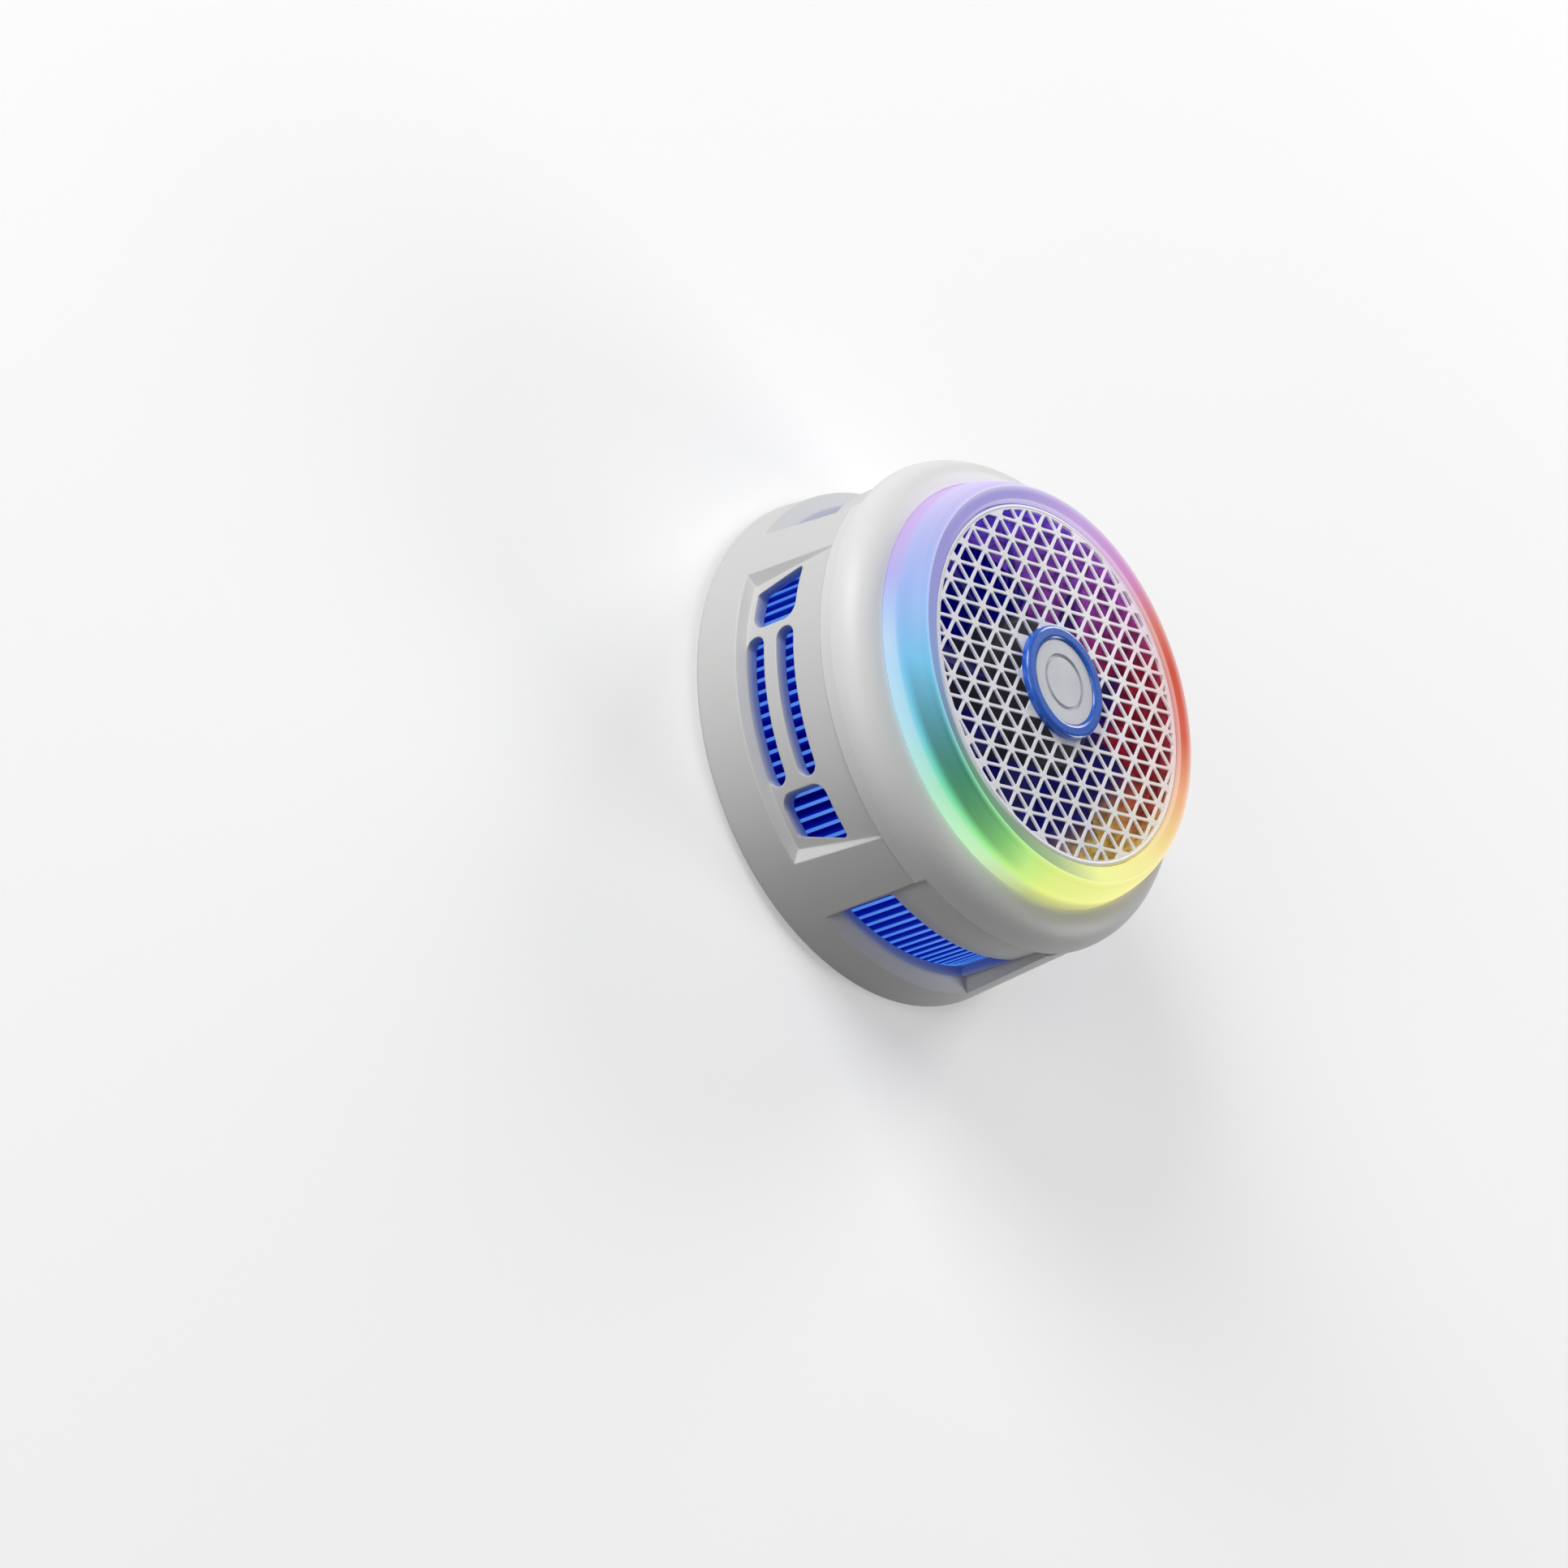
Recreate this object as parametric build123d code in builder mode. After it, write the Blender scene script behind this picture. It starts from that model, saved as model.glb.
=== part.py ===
from build123d import *
import os
from math import cos, degrees, radians, sin, sqrt, tan

os.makedirs("parts", exist_ok=True)

# The cooler lies on its cold face. Z = 0 is the face that meets the phone and +Z runs to the front grille.
# The four-hole side window faces -X and the power socket faces +X. All sizes are in millimetres.

# Clearances, and the overrun of every cut
fit_gap = 0.1
loose_gap = 0.3
overrun = 2.0

# Cold plate and its screw posts
cold_plate_margin = 1.2
cold_plate_thickness = 1.0
post_radius = 1.7
post_margin = 1.6
post_angles = (90, 180, 270)

# Peltier module: two ceramic plates with rows of pellets between them, two leads and a temperature sensor
peltier_side = 30.0
ceramic_thickness = 0.6
pellet_height = 2.0
pellet_side = 1.6
pellet_margin = 1.95
pellet_rows = 8
lead_radius = 0.5
lead_spread = 2.6
lead_bend_radius = 1.0
lead_reach = 2.4
sensor_length = 2.4
sensor_width = 1.4
sensor_height = 1.0
sensor_offset = 6.0

# Heat sink: a round base with radial fins
sink_base_thickness = 1.0
fin_height = 10.4
fin_count = 120
fin_thickness = 0.42
fin_length = 7.3
long_fin_count = 40
long_fin_length = 16.8
sink_screw_head_radius = 1.15
sink_screw_head_height = 0.9
sink_screw_radius = 0.7

# Rear cover, magnet ring, steel yoke and soft face ring
cover_thickness = 1.2
cover_flange_thickness = 1.2
cover_ledge_width = 0.8
cover_ledge_step = 0.8
pocket_wall = 1.1
pocket_floor = 0.5
magnet_width = 4.1
magnet_height = 2.0
magnet_count = 20
magnet_spacing = 1.0
yoke_thickness = 0.7
face_pad_thickness = 0.8
cover_screw_land = 0.1
cover_screw_angles = (72, 136.5, 223.5, 288)
cover_screw_head_radius = 1.2
cover_screw_head_height = 0.7
cover_screw_radius = 0.6
cover_screw_length = 4.2

# Main housing
skirt_taper = 1.7
skirt_lip = 0.9
skirt_edge_round = 0.4
sink_gap = 0.6
tongue_thickness = 1.25
tongue_height = 2.2
seam_step = 0.1

# Side window facing -X: a shallow recess with two long slots and two end holes
slot_window_angle = 180
slot_window_wall = 1.7
slot_window_drop = 4.25
slot_height = 2.7
slot_length = 18.1
slot_bridge = 1.9
slot_window_ramp = 0.6
slot_window_rear_half_angle = 31.5
slot_window_front_half_angle = 35.5
slot_window_end_lean = 75
end_hole_inner = 10.0
end_hole_rear_inset = 1.03
end_hole_front_inset = 0.88
end_hole_rear_margin = 0.75
end_hole_inner_round = 1.7
end_hole_outer_round = 0.5

# The four single windows: a recess that runs on under the front shell, with one wide opening
wide_window_angles = (36, 108, 252, 324)
wide_window_drop = 4.3
wide_opening_height = 7.8
wide_opening_inset = 0.59
wide_opening_round = 0.4
wide_window_ramp = 0.9
wide_window_half_angle = 22.8
wide_window_end_lean = 39
notch_height = 1.8

# Front shell
shell_band_height = 6.1
shell_bulge_drop = 4.3
shell_rim_thickness = 0.65
shell_bulge = 0.1
shell_lip_thickness = 1.6
shell_seam_gap = 0.1
shell_mouth_gap = 0.12

# Light ring
ring_rise = 5.3
ring_wall = 1.7
ring_flange_thickness = 0.8
ring_flange_width = 1.4
ring_flange_inset = 0.8
ring_foot_width = 0.6
crest_proud = 0.6
crest_inset = 1.9
brow_inset = 1.1
brow_width = 0.8
brow_drop = 1.0
ring_waist_bulge = 0.3
pocket_lip_drop = 0.5

# Grille: a disc of triangular holes in rows, and its round badge
grille_thickness = 0.95
grille_rim_width = 0.6
grille_ledge_width = 0.5
grille_ledge_depth = 1.1
lattice_thickness = 0.5
lattice_pitch = 3.66
lattice_row = 2.46
lattice_bar = 0.5
lattice_turn = -4.0
badge_radius = 7.0
badge_bezel_width = 1.7
badge_bezel_height = 1.0
badge_bezel_round = 0.45
badge_face_height = 0.7
badge_groove_radius = 3.3
badge_groove_width = 0.5
badge_groove_depth = 0.25

# Fan frame: shroud, flange, spider and bearing tube
sink_frame_gap = 0.6
motor_base_radius = 9.0
motor_base_thickness = 1.2
strut_width = 2.2
strut_count = 4
shroud_thickness = 1.2
frame_flange_thickness = 1.0
frame_screw_inset = 1.5
frame_screw_angles = (75, 135, 225, 285)
frame_screw_head_radius = 1.0
frame_screw_head_height = 0.6
frame_screw_radius = 0.6
frame_screw_length = 3.6
ear_width = 4.6
ear_depth = 3.2

# Fan motor
shaft_radius = 0.75
shaft_grip = 1.0
bearing_gap = 0.04
bearing_wall = 1.1
bearing_length = 6.0
bearing_tube_wall = 0.7
thrust_pad_thickness = 0.4
motor_board_radius = 7.4
motor_board_thickness = 0.8
stator_radius = 6.5
stator_hub_wall = 0.8
stator_height = 3.4
stator_shoe_thickness = 0.9
stator_shoe_width = 5.4
stator_pole_width = 2.0
stator_lift = 1.3
coil_width = 4.2
coil_overhang = 0.5
coil_length = 1.6
pole_count = 4
rotor_magnet_gap = 0.5
rotor_magnet_thickness = 1.1
rotor_magnet_height = 4.6
cup_thickness = 0.6

# Fan impeller
rotor_gap = 0.5
hub_height = 8.0
hub_wall = 0.8
hub_round = 1.0
blade_count = 9
blade_tip_gap = 0.6
blade_root_height = 6.9
blade_tip_height = 6.4
blade_root_pitch = 52
blade_tip_pitch = 34
blade_thickness = 0.8
blade_edge_thickness = 0.3
blade_camber = 0.7
grille_gap = 1.95

# Light board and its LEDs
light_board_thickness = 0.8
led_count = 24
led_side = 1.5
led_height = 0.8

# Control board with its power socket
socket_angle = 0
board_width = 13.6
board_thickness = 0.8
board_lift = 1.8
board_tail = 1.0
shelf_depth = 3.2
socket_width = 8.94
socket_height = 3.26
socket_length = 7.3
socket_wall = 0.3
socket_inset = 0.5
tongue_plate_width = 6.7
tongue_plate_thickness = 0.7
tongue_plate_setback = 0.9
port_gap = 0.15
chip_side = 4.0
chip_height = 0.9
inductor_side = 4.2
inductor_height = 2.4
capacitor_side = 1.3
board_screw_offset = 5.5
board_screw_inset = 2.0
board_screw_radius = 0.6
board_screw_head_radius = 0.95
board_screw_head_height = 0.5

# Heights, built up from the cold face
pellet_z = cold_plate_thickness + ceramic_thickness
hot_face_z = pellet_z + pellet_height
sink_z = hot_face_z + ceramic_thickness
fin_z = sink_z + sink_base_thickness
fin_top = fin_z + fin_height
frame_z = fin_top + sink_frame_gap
motor_base_top = frame_z + motor_base_thickness
motor_board_top = motor_base_top + motor_board_thickness
rotor_z = motor_board_top + rotor_gap
hub_top = rotor_z + hub_height
grille_z = hub_top + grille_gap
grille_top = grille_z + grille_thickness
crest_z = grille_top + crest_proud
shoulder_z = crest_z - ring_rise
ring_seat_z = shoulder_z - shell_lip_thickness
ring_wall_z = ring_seat_z - ring_flange_thickness
light_board_top = ring_wall_z - loose_gap - led_height
light_board_z = light_board_top - light_board_thickness
flange_z = light_board_z - frame_flange_thickness
seam_z = shoulder_z - shell_band_height
bulge_z = shoulder_z - shell_bulge_drop
notch_z = seam_z + notch_height
ledge_z = grille_z - grille_ledge_depth
cover_z = face_pad_thickness

# Radii, built up outwards from the Peltier module and then inwards from the housing to the fan
cold_plate_radius = peltier_side / sqrt(2) + cold_plate_margin
post_circle_radius = peltier_side / 2 + post_margin + post_radius
trough_inner = cold_plate_radius + fit_gap + fit_gap + loose_gap
magnet_inner = trough_inner + fit_gap
magnet_outer = magnet_inner + magnet_width
trough_outer = magnet_outer + fit_gap
housing_bore = trough_outer + pocket_wall + fit_gap
sink_radius = housing_bore - sink_gap
tongue_radius = housing_bore + tongue_thickness
shell_bore = tongue_radius + fit_gap
shell_rim_radius = shell_bore + shell_rim_thickness
shell_max_radius = shell_rim_radius + shell_bulge
seam_radius = shell_rim_radius - seam_step
body_radius = seam_radius + skirt_taper
cover_seat_radius = body_radius - skirt_lip
cover_radius = cover_seat_radius - fit_gap
cover_screw_circle_radius = cover_radius - cover_screw_land - cover_screw_head_radius - fit_gap
frame_screw_circle_radius = housing_bore - frame_screw_inset
ring_flange_radius = housing_bore - ring_flange_inset
ring_radius = ring_flange_radius - ring_flange_width
ring_bore = ring_radius - ring_wall
shroud_radius = ring_bore - loose_gap
shroud_bore = shroud_radius - shroud_thickness
blade_tip_radius = shroud_bore - blade_tip_gap
shell_mouth_radius = ring_radius + shell_mouth_gap
brow_radius = ring_radius - brow_inset
crest_radius = brow_radius - brow_width
grille_pocket_radius = crest_radius - crest_inset
grille_radius = grille_pocket_radius - fit_gap
board_z = fin_z + board_lift
board_top = board_z + board_thickness
socket_z = board_top + socket_height / 2


def skirt_radius(z):
    """Outside radius of the main housing's tapering skirt at height z."""
    return body_radius - (body_radius - seam_radius) * (z - cover_z) / (seam_z - cover_z)


def around(radius, angles, z):
    """Places at one radius and height, each turned to face outwards."""
    return [
        Location((radius * cos(radians(a)), radius * sin(radians(a)), z), (0, 0, a)) for a in angles
    ]


def window_plane(angle):
    """Upright plane through the axis whose X is along the rim, whose Y is up and which faces outwards."""
    outward = (cos(radians(angle)), sin(radians(angle)), 0)
    return Plane(origin=(0, 0, 0), x_dir=(-outward[1], outward[0], 0), z_dir=outward)


def recess(angle, floor_radius, sill_z, ramp, front_z, rear_half_angle, front_half_angle, lean):
    """The solid that a side-window recess takes out of the shells: rear ramp, round floor and leaning ends."""
    rim_z = sill_z - ramp
    far_radius = body_radius + overrun
    slope = ramp / (skirt_radius(rim_z) - floor_radius)
    far_z = sill_z - slope * (far_radius - floor_radius)
    end_x, end_y = cos(radians(lean)), sin(radians(lean))
    with BuildPart() as cutter:
        for z, half_angle in ((far_z, rear_half_angle), (front_z, front_half_angle)):
            foot_x = floor_radius * cos(radians(half_angle))
            foot_y = floor_radius * sin(radians(half_angle))
            near_x, near_y = foot_x - overrun * end_x, foot_y - overrun * end_y
            out_x, out_y = foot_x + 3 * overrun * end_x, foot_y + 3 * overrun * end_y
            wide_x = far_radius + overrun
            with BuildSketch(Plane.XY.offset(z).rotated((0, 0, angle))):
                Polygon(
                    (near_x, -near_y),
                    (out_x, -out_y),
                    (wide_x, -out_y),
                    (wide_x, out_y),
                    (out_x, out_y),
                    (near_x, near_y),
                    align=None,
                )
        loft()
        with BuildSketch(Plane.XZ):
            Polygon(
                (floor_radius, sill_z),
                (far_radius, far_z),
                (far_radius, front_z),
                (floor_radius, front_z),
                align=None,
            )
        revolve(axis=Axis.Z, mode=Mode.INTERSECT)
    return cutter.part


# Side-window heights, taken down from the seam
slot_front_z = seam_z - slot_window_drop
slot_rear_z = slot_front_z - 2 * slot_height - slot_bridge
wide_front_z = seam_z - wide_window_drop
wide_rear_z = wide_front_z - wide_opening_height
slot_window_floor = housing_bore + slot_window_wall
end_hole_rear_outer = slot_window_floor * sin(radians(slot_window_rear_half_angle)) - end_hole_rear_inset
end_hole_front_outer = slot_window_floor * sin(radians(slot_window_front_half_angle)) - end_hole_front_inset
wide_opening_width = 2 * (tongue_radius * sin(radians(wide_window_half_angle)) - wide_opening_inset)

slot_recess = recess(
    slot_window_angle,
    slot_window_floor,
    slot_rear_z,
    slot_window_ramp,
    seam_z,
    slot_window_rear_half_angle,
    slot_window_front_half_angle,
    slot_window_end_lean,
)
wide_recesses = [
    recess(
        angle,
        tongue_radius,
        wide_rear_z,
        wide_window_ramp,
        notch_z,
        wide_window_half_angle,
        wide_window_half_angle,
        wide_window_end_lean,
    )
    for angle in wide_window_angles
]

# Main housing: tapering skirt with a tongue for the front shell, windows, fan ears and the board shelf
ear_z = frame_z
with BuildPart() as main_housing:
    with BuildSketch(Plane.XZ):
        Polygon(
            (cover_seat_radius, cover_z),
            (body_radius, cover_z),
            (seam_radius, seam_z),
            (tongue_radius, seam_z),
            (tongue_radius, seam_z + tongue_height),
            (housing_bore, seam_z + tongue_height),
            (housing_bore, cover_z + cover_flange_thickness),
            (cover_seat_radius, cover_z + cover_flange_thickness),
            align=None,
        )
    revolve(axis=Axis.Z)
    rear_circles = main_housing.edges().filter_by(GeomType.CIRCLE).group_by(Axis.Z)[0]
    fillet(rear_circles.sort_by(SortBy.RADIUS)[-1], radius=skirt_edge_round)
    add(slot_recess, mode=Mode.SUBTRACT)
    for cutter in wide_recesses:
        add(cutter, mode=Mode.SUBTRACT)
    with BuildSketch(window_plane(slot_window_angle)) as slot_window_holes:
        with Locations(
            (0, slot_front_z - slot_height / 2),
            (0, slot_rear_z + slot_height / 2),
        ):
            SlotOverall(slot_length, slot_height)
    extrude(amount=body_radius + overrun, mode=Mode.SUBTRACT)
    for side in (1, -1):
        with BuildSketch(window_plane(slot_window_angle)) as end_hole:
            Polygon(
                (side * end_hole_inner, slot_front_z),
                (side * end_hole_inner, slot_rear_z + end_hole_rear_margin),
                (side * end_hole_rear_outer, slot_rear_z + end_hole_rear_margin),
                (side * end_hole_front_outer, slot_front_z),
                align=None,
            )
            corners = end_hole.vertices().sort_by(lambda corner: abs(corner.X))
            fillet(corners[:2], radius=end_hole_inner_round)
            corners = end_hole.vertices().sort_by(lambda corner: abs(corner.X))
            fillet(corners[-2:], radius=end_hole_outer_round)
        extrude(amount=body_radius + overrun, mode=Mode.SUBTRACT)
    for angle in wide_window_angles:
        with BuildSketch(window_plane(angle)):
            with Locations((0, (wide_front_z + wide_rear_z) / 2)):
                RectangleRounded(wide_opening_width, wide_opening_height, wide_opening_round)
        extrude(amount=body_radius + overrun, mode=Mode.SUBTRACT)
    with Locations(*around(housing_bore - ear_depth, frame_screw_angles, ear_z)):
        Box(
            ear_depth + fit_gap,
            ear_width,
            flange_z - ear_z,
            align=(Align.MIN, Align.CENTER, Align.MIN),
        )
    with Locations((housing_bore - shelf_depth, 0, fin_z + loose_gap)):
        Box(
            shelf_depth + fit_gap,
            board_width,
            board_lift - loose_gap,
            align=(Align.MIN, Align.CENTER, Align.MIN),
        )
    with BuildSketch(window_plane(socket_angle)):
        with Locations((0, socket_z)):
            SlotOverall(socket_width + 2 * port_gap, socket_height + 2 * port_gap)
    extrude(amount=body_radius + overrun, mode=Mode.SUBTRACT)
    with Locations(*around(cover_screw_circle_radius, cover_screw_angles, cover_z)):
        Cylinder(
            cover_screw_radius + fit_gap / 2,
            cover_screw_head_height + cover_screw_length + loose_gap,
            align=(Align.CENTER, Align.CENTER, Align.MIN),
            mode=Mode.SUBTRACT,
        )
    with Locations(*around(frame_screw_circle_radius, frame_screw_angles, ear_z - overrun)):
        Cylinder(
            frame_screw_radius + fit_gap / 2,
            flange_z - ear_z + 2 * overrun,
            align=(Align.CENTER, Align.CENTER, Align.MIN),
            mode=Mode.SUBTRACT,
        )
    with Locations(*[(housing_bore - board_screw_inset, s * board_screw_offset, fin_z) for s in (1, -1)]):
        Cylinder(
            board_screw_radius + fit_gap / 2,
            board_lift + overrun,
            align=(Align.CENTER, Align.CENTER, Align.MIN),
            mode=Mode.SUBTRACT,
        )
main_housing.part.label = "main_housing"
export_step(main_housing.part, "parts/main_housing.step")

# Front shell: a rounded band that slides over the housing's tongue and holds the light ring down
with BuildPart() as front_shell:
    with BuildSketch(Plane.XZ):
        with BuildLine():
            rim = Line((shell_bore, seam_z + shell_seam_gap), (shell_rim_radius, seam_z + shell_seam_gap))
            band = Line(rim @ 1, (shell_max_radius, bulge_z))
            shoulder = EllipticalCenterArc(
                (shell_mouth_radius, bulge_z),
                shell_max_radius - shell_mouth_radius,
                shoulder_z - bulge_z,
                start_angle=0,
                arc_size=90,
            )
            mouth = Line(shoulder @ 1, (shell_mouth_radius, ring_seat_z))
            seat = Line(mouth @ 1, (ring_flange_radius + fit_gap, ring_seat_z))
            inside = Line(seat @ 1, (shell_bore, seam_z + tongue_height + fit_gap))
            Line(inside @ 1, rim @ 0)
        make_face()
    revolve(axis=Axis.Z)
    for cutter in wide_recesses:
        add(cutter, mode=Mode.SUBTRACT)
front_shell.part.label = "front_shell"
export_step(front_shell.part, "parts/front_shell.step")

# Light ring: a translucent ring whose notched foot stands round the LEDs and whose crest frames the grille
with BuildPart() as light_ring:
    with BuildSketch(Plane.XZ):
        with BuildLine():
            foot = Polyline(
                (ring_bore, ring_wall_z),
                (ring_flange_radius - ring_foot_width, ring_wall_z),
                (ring_flange_radius - ring_foot_width, light_board_top),
                (ring_flange_radius, light_board_top),
                (ring_flange_radius, ring_seat_z),
                (ring_radius, ring_seat_z),
                (ring_radius, shoulder_z),
            )
            brow = (brow_radius, crest_z - brow_drop)
            waist = (
                (ring_radius + brow_radius) / 2 + ring_waist_bulge,
                (shoulder_z + crest_z - brow_drop) / 2,
            )
            wall = ThreePointArc(foot @ 1, waist, brow)
            crest = TangentArc(wall @ 1, (crest_radius, crest_z), tangent=wall % 1)
            inner_slope = Line(crest @ 1, (grille_pocket_radius, crest_z - pocket_lip_drop))
            Polyline(
                inner_slope @ 1,
                (grille_pocket_radius, grille_z),
                (grille_radius - grille_ledge_width, grille_z),
                (grille_radius - grille_ledge_width, ledge_z),
                (ring_bore, ledge_z),
                foot @ 0,
            )
        make_face()
    revolve(axis=Axis.Z)
    with Locations(*around(frame_screw_circle_radius, frame_screw_angles, light_board_top)):
        Cylinder(
            frame_screw_head_radius + loose_gap,
            frame_screw_head_height + loose_gap,
            align=(Align.CENTER, Align.CENTER, Align.MIN),
            mode=Mode.SUBTRACT,
        )
light_ring.part.label = "light_ring"
export_step(light_ring.part, "parts/light_ring.step")

# Grille: a thin plate of triangular holes in rows, which run up to a deeper rim and stop under the badge
lattice_radius = grille_radius - grille_rim_width
slant = sqrt((lattice_pitch / 2) ** 2 + lattice_row**2)
cell_inner_radius = lattice_pitch * lattice_row / (lattice_pitch + 2 * slant)
hole_share = 1 - lattice_bar / 2 / cell_inner_radius
half_base = lattice_pitch / 2 * hole_share
hole_bottom = cell_inner_radius * (1 - hole_share)
hole_tip = hole_bottom + lattice_row * hole_share
up_hole = ((-half_base, hole_bottom), (half_base, hole_bottom), (0, hole_tip))
down_hole = tuple((x, lattice_row - y) for x, y in reversed(up_hole))


def lattice_places(shift_share, hole):
    """Places of the lattice cells whose hole, given by its corners, shows between the badge and the rim."""
    places = []
    rows = int(lattice_radius / lattice_row) + 2
    columns = int(lattice_radius / lattice_pitch) + rows
    for row in range(-rows, rows + 1):
        for column in range(-columns, columns + 1):
            x = (column + (row % 2) / 2 + shift_share) * lattice_pitch
            y = row * lattice_row
            reaches = [sqrt((x + corner_x) ** 2 + (y + corner_y) ** 2) for corner_x, corner_y in hole]
            clears_badge = sum(reaches) / len(reaches) > badge_radius
            if clears_badge and min(reaches) < lattice_radius - lattice_bar:
                places.append((x, y))
    return places


with BuildPart() as grille:
    with BuildSketch(Plane.XY.offset(grille_z)):
        Circle(grille_radius)
        Circle(lattice_radius, mode=Mode.SUBTRACT)
    extrude(amount=grille_thickness)
    with BuildSketch(Plane.XY.offset(grille_top - lattice_thickness).rotated((0, 0, lattice_turn))):
        Circle(grille_radius)
        with BuildSketch(Plane.XY, mode=Mode.PRIVATE) as holes:
            with Locations(*lattice_places(0, up_hole)):
                Polygon(*up_hole, align=None)
            with Locations(*lattice_places(1 / 2, down_hole)):
                Polygon(*down_hole, align=None)
            Circle(lattice_radius, mode=Mode.INTERSECT)
        add(holes.sketch, mode=Mode.SUBTRACT)
    extrude(amount=lattice_thickness)
grille.part.label = "grille"
export_step(grille.part, "parts/grille.step")

# Badge bezel: the raised round frame in the middle of the grille
with BuildPart() as badge_bezel:
    with BuildSketch(Plane.XY.offset(grille_top)):
        Circle(badge_radius)
        Circle(badge_radius - badge_bezel_width, mode=Mode.SUBTRACT)
    extrude(amount=badge_bezel_height)
    fillet(badge_bezel.edges().group_by(Axis.Z)[-1], radius=badge_bezel_round)
badge_bezel.part.label = "badge_bezel"
export_step(badge_bezel.part, "parts/badge_bezel.step")

# Badge face: a plain disc with one turned groove
badge_face_radius = badge_radius - badge_bezel_width - fit_gap / 2
with BuildPart() as badge_face:
    with BuildSketch(Plane.XY.offset(grille_top)):
        Circle(badge_face_radius)
    extrude(amount=badge_face_height)
    with BuildSketch(Plane.XY.offset(grille_top + badge_face_height)):
        Circle(badge_groove_radius + badge_groove_width / 2)
        Circle(badge_groove_radius - badge_groove_width / 2, mode=Mode.SUBTRACT)
    extrude(amount=-badge_groove_depth, mode=Mode.SUBTRACT)
badge_face.part.label = "badge_face"
export_step(badge_face.part, "parts/badge_face.step")

# Cold plate: the aluminium disc that touches the phone, with threaded posts for the heat sink screws
with BuildPart() as cold_plate:
    with BuildSketch():
        Circle(cold_plate_radius)
    extrude(amount=cold_plate_thickness)
    with Locations(*around(post_circle_radius, post_angles, cold_plate_thickness)):
        Cylinder(
            post_radius,
            sink_z - cold_plate_thickness,
            align=(Align.CENTER, Align.CENTER, Align.MIN),
        )
        Cylinder(
            sink_screw_radius + fit_gap / 2,
            sink_z - cold_plate_thickness,
            align=(Align.CENTER, Align.CENTER, Align.MIN),
            mode=Mode.SUBTRACT,
        )
cold_plate.part.label = "cold_plate"
export_step(cold_plate.part, "parts/cold_plate.step")

# Peltier module, cold ceramic first
with BuildPart() as peltier_cold_face:
    with BuildSketch(Plane.XY.offset(cold_plate_thickness)):
        Rectangle(peltier_side, peltier_side)
    extrude(amount=ceramic_thickness)
peltier_cold_face.part.label = "peltier_cold_face"
export_step(peltier_cold_face.part, "parts/peltier_cold_face.step")

pellet_pitch = (peltier_side - pellet_side - 2 * pellet_margin) / (pellet_rows - 1)
with BuildPart() as peltier_pellets:
    with BuildSketch(Plane.XY.offset(pellet_z)):
        with GridLocations(pellet_pitch, pellet_pitch, pellet_rows, pellet_rows):
            Rectangle(pellet_side, pellet_side)
    extrude(amount=pellet_height)
peltier_pellets.part.label = "peltier_pellets"
export_step(peltier_pellets.part, "parts/peltier_pellets.step")

with BuildPart() as peltier_hot_face:
    with BuildSketch(Plane.XY.offset(hot_face_z)):
        Rectangle(peltier_side, peltier_side)
    extrude(amount=ceramic_thickness)
peltier_hot_face.part.label = "peltier_hot_face"
export_step(peltier_hot_face.part, "parts/peltier_hot_face.step")

# Peltier leads: two wires from the pellets' edge, up through the heat sink to the control board
lead_x = peltier_side / 2 + lead_reach
board_inner_x = lead_x - board_tail
lead_z = pellet_z + pellet_height / 2
lead_start_x = pellet_pitch * (pellet_rows - 1) / 2 + pellet_side / 2
with BuildPart() as peltier_leads:
    for side in (1, -1):
        y = side * lead_spread / 2
        with BuildLine():
            FilletPolyline(
                (lead_start_x, y, lead_z),
                (lead_x, y, lead_z),
                (lead_x, y, board_z),
                radius=lead_bend_radius,
            )
        with BuildSketch(Plane(origin=(lead_start_x, y, lead_z), z_dir=(1, 0, 0))):
            Circle(lead_radius)
        sweep()
peltier_leads.part.label = "peltier_leads"
export_step(peltier_leads.part, "parts/peltier_leads.step")

# Temperature sensor: a small bead on the cold plate beside the module
sensor_x = -(peltier_side / 2 + loose_gap + sensor_width)
with BuildPart() as temperature_sensor:
    with Locations((sensor_x, sensor_offset, cold_plate_thickness)):
        Box(sensor_width, sensor_length, sensor_height, align=(Align.CENTER, Align.CENTER, Align.MIN))
temperature_sensor.part.label = "temperature_sensor"
export_step(temperature_sensor.part, "parts/temperature_sensor.step")

# Insulation foam: fills the gap round the module and leaves room for posts, leads and sensor
ledge_radius = cold_plate_radius - cover_ledge_width
with BuildPart() as insulation_foam:
    with BuildSketch(Plane.XY.offset(cold_plate_thickness + fit_gap / 2)):
        Circle(ledge_radius - fit_gap)
        Rectangle(peltier_side + loose_gap, peltier_side + loose_gap, mode=Mode.SUBTRACT)
        with Locations(*around(post_circle_radius, post_angles, 0)):
            Circle(post_radius + loose_gap, mode=Mode.SUBTRACT)
        with Locations((lead_x, 0)):
            Rectangle(
                2 * (lead_reach + lead_radius),
                lead_spread + 4 * lead_radius,
                mode=Mode.SUBTRACT,
            )
        with Locations((sensor_x, sensor_offset)):
            Rectangle(sensor_width + 2 * loose_gap, sensor_length + 2 * loose_gap, mode=Mode.SUBTRACT)
    extrude(amount=sink_z - cold_plate_thickness - fit_gap)
insulation_foam.part.label = "insulation_foam"
export_step(insulation_foam.part, "parts/insulation_foam.step")

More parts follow.
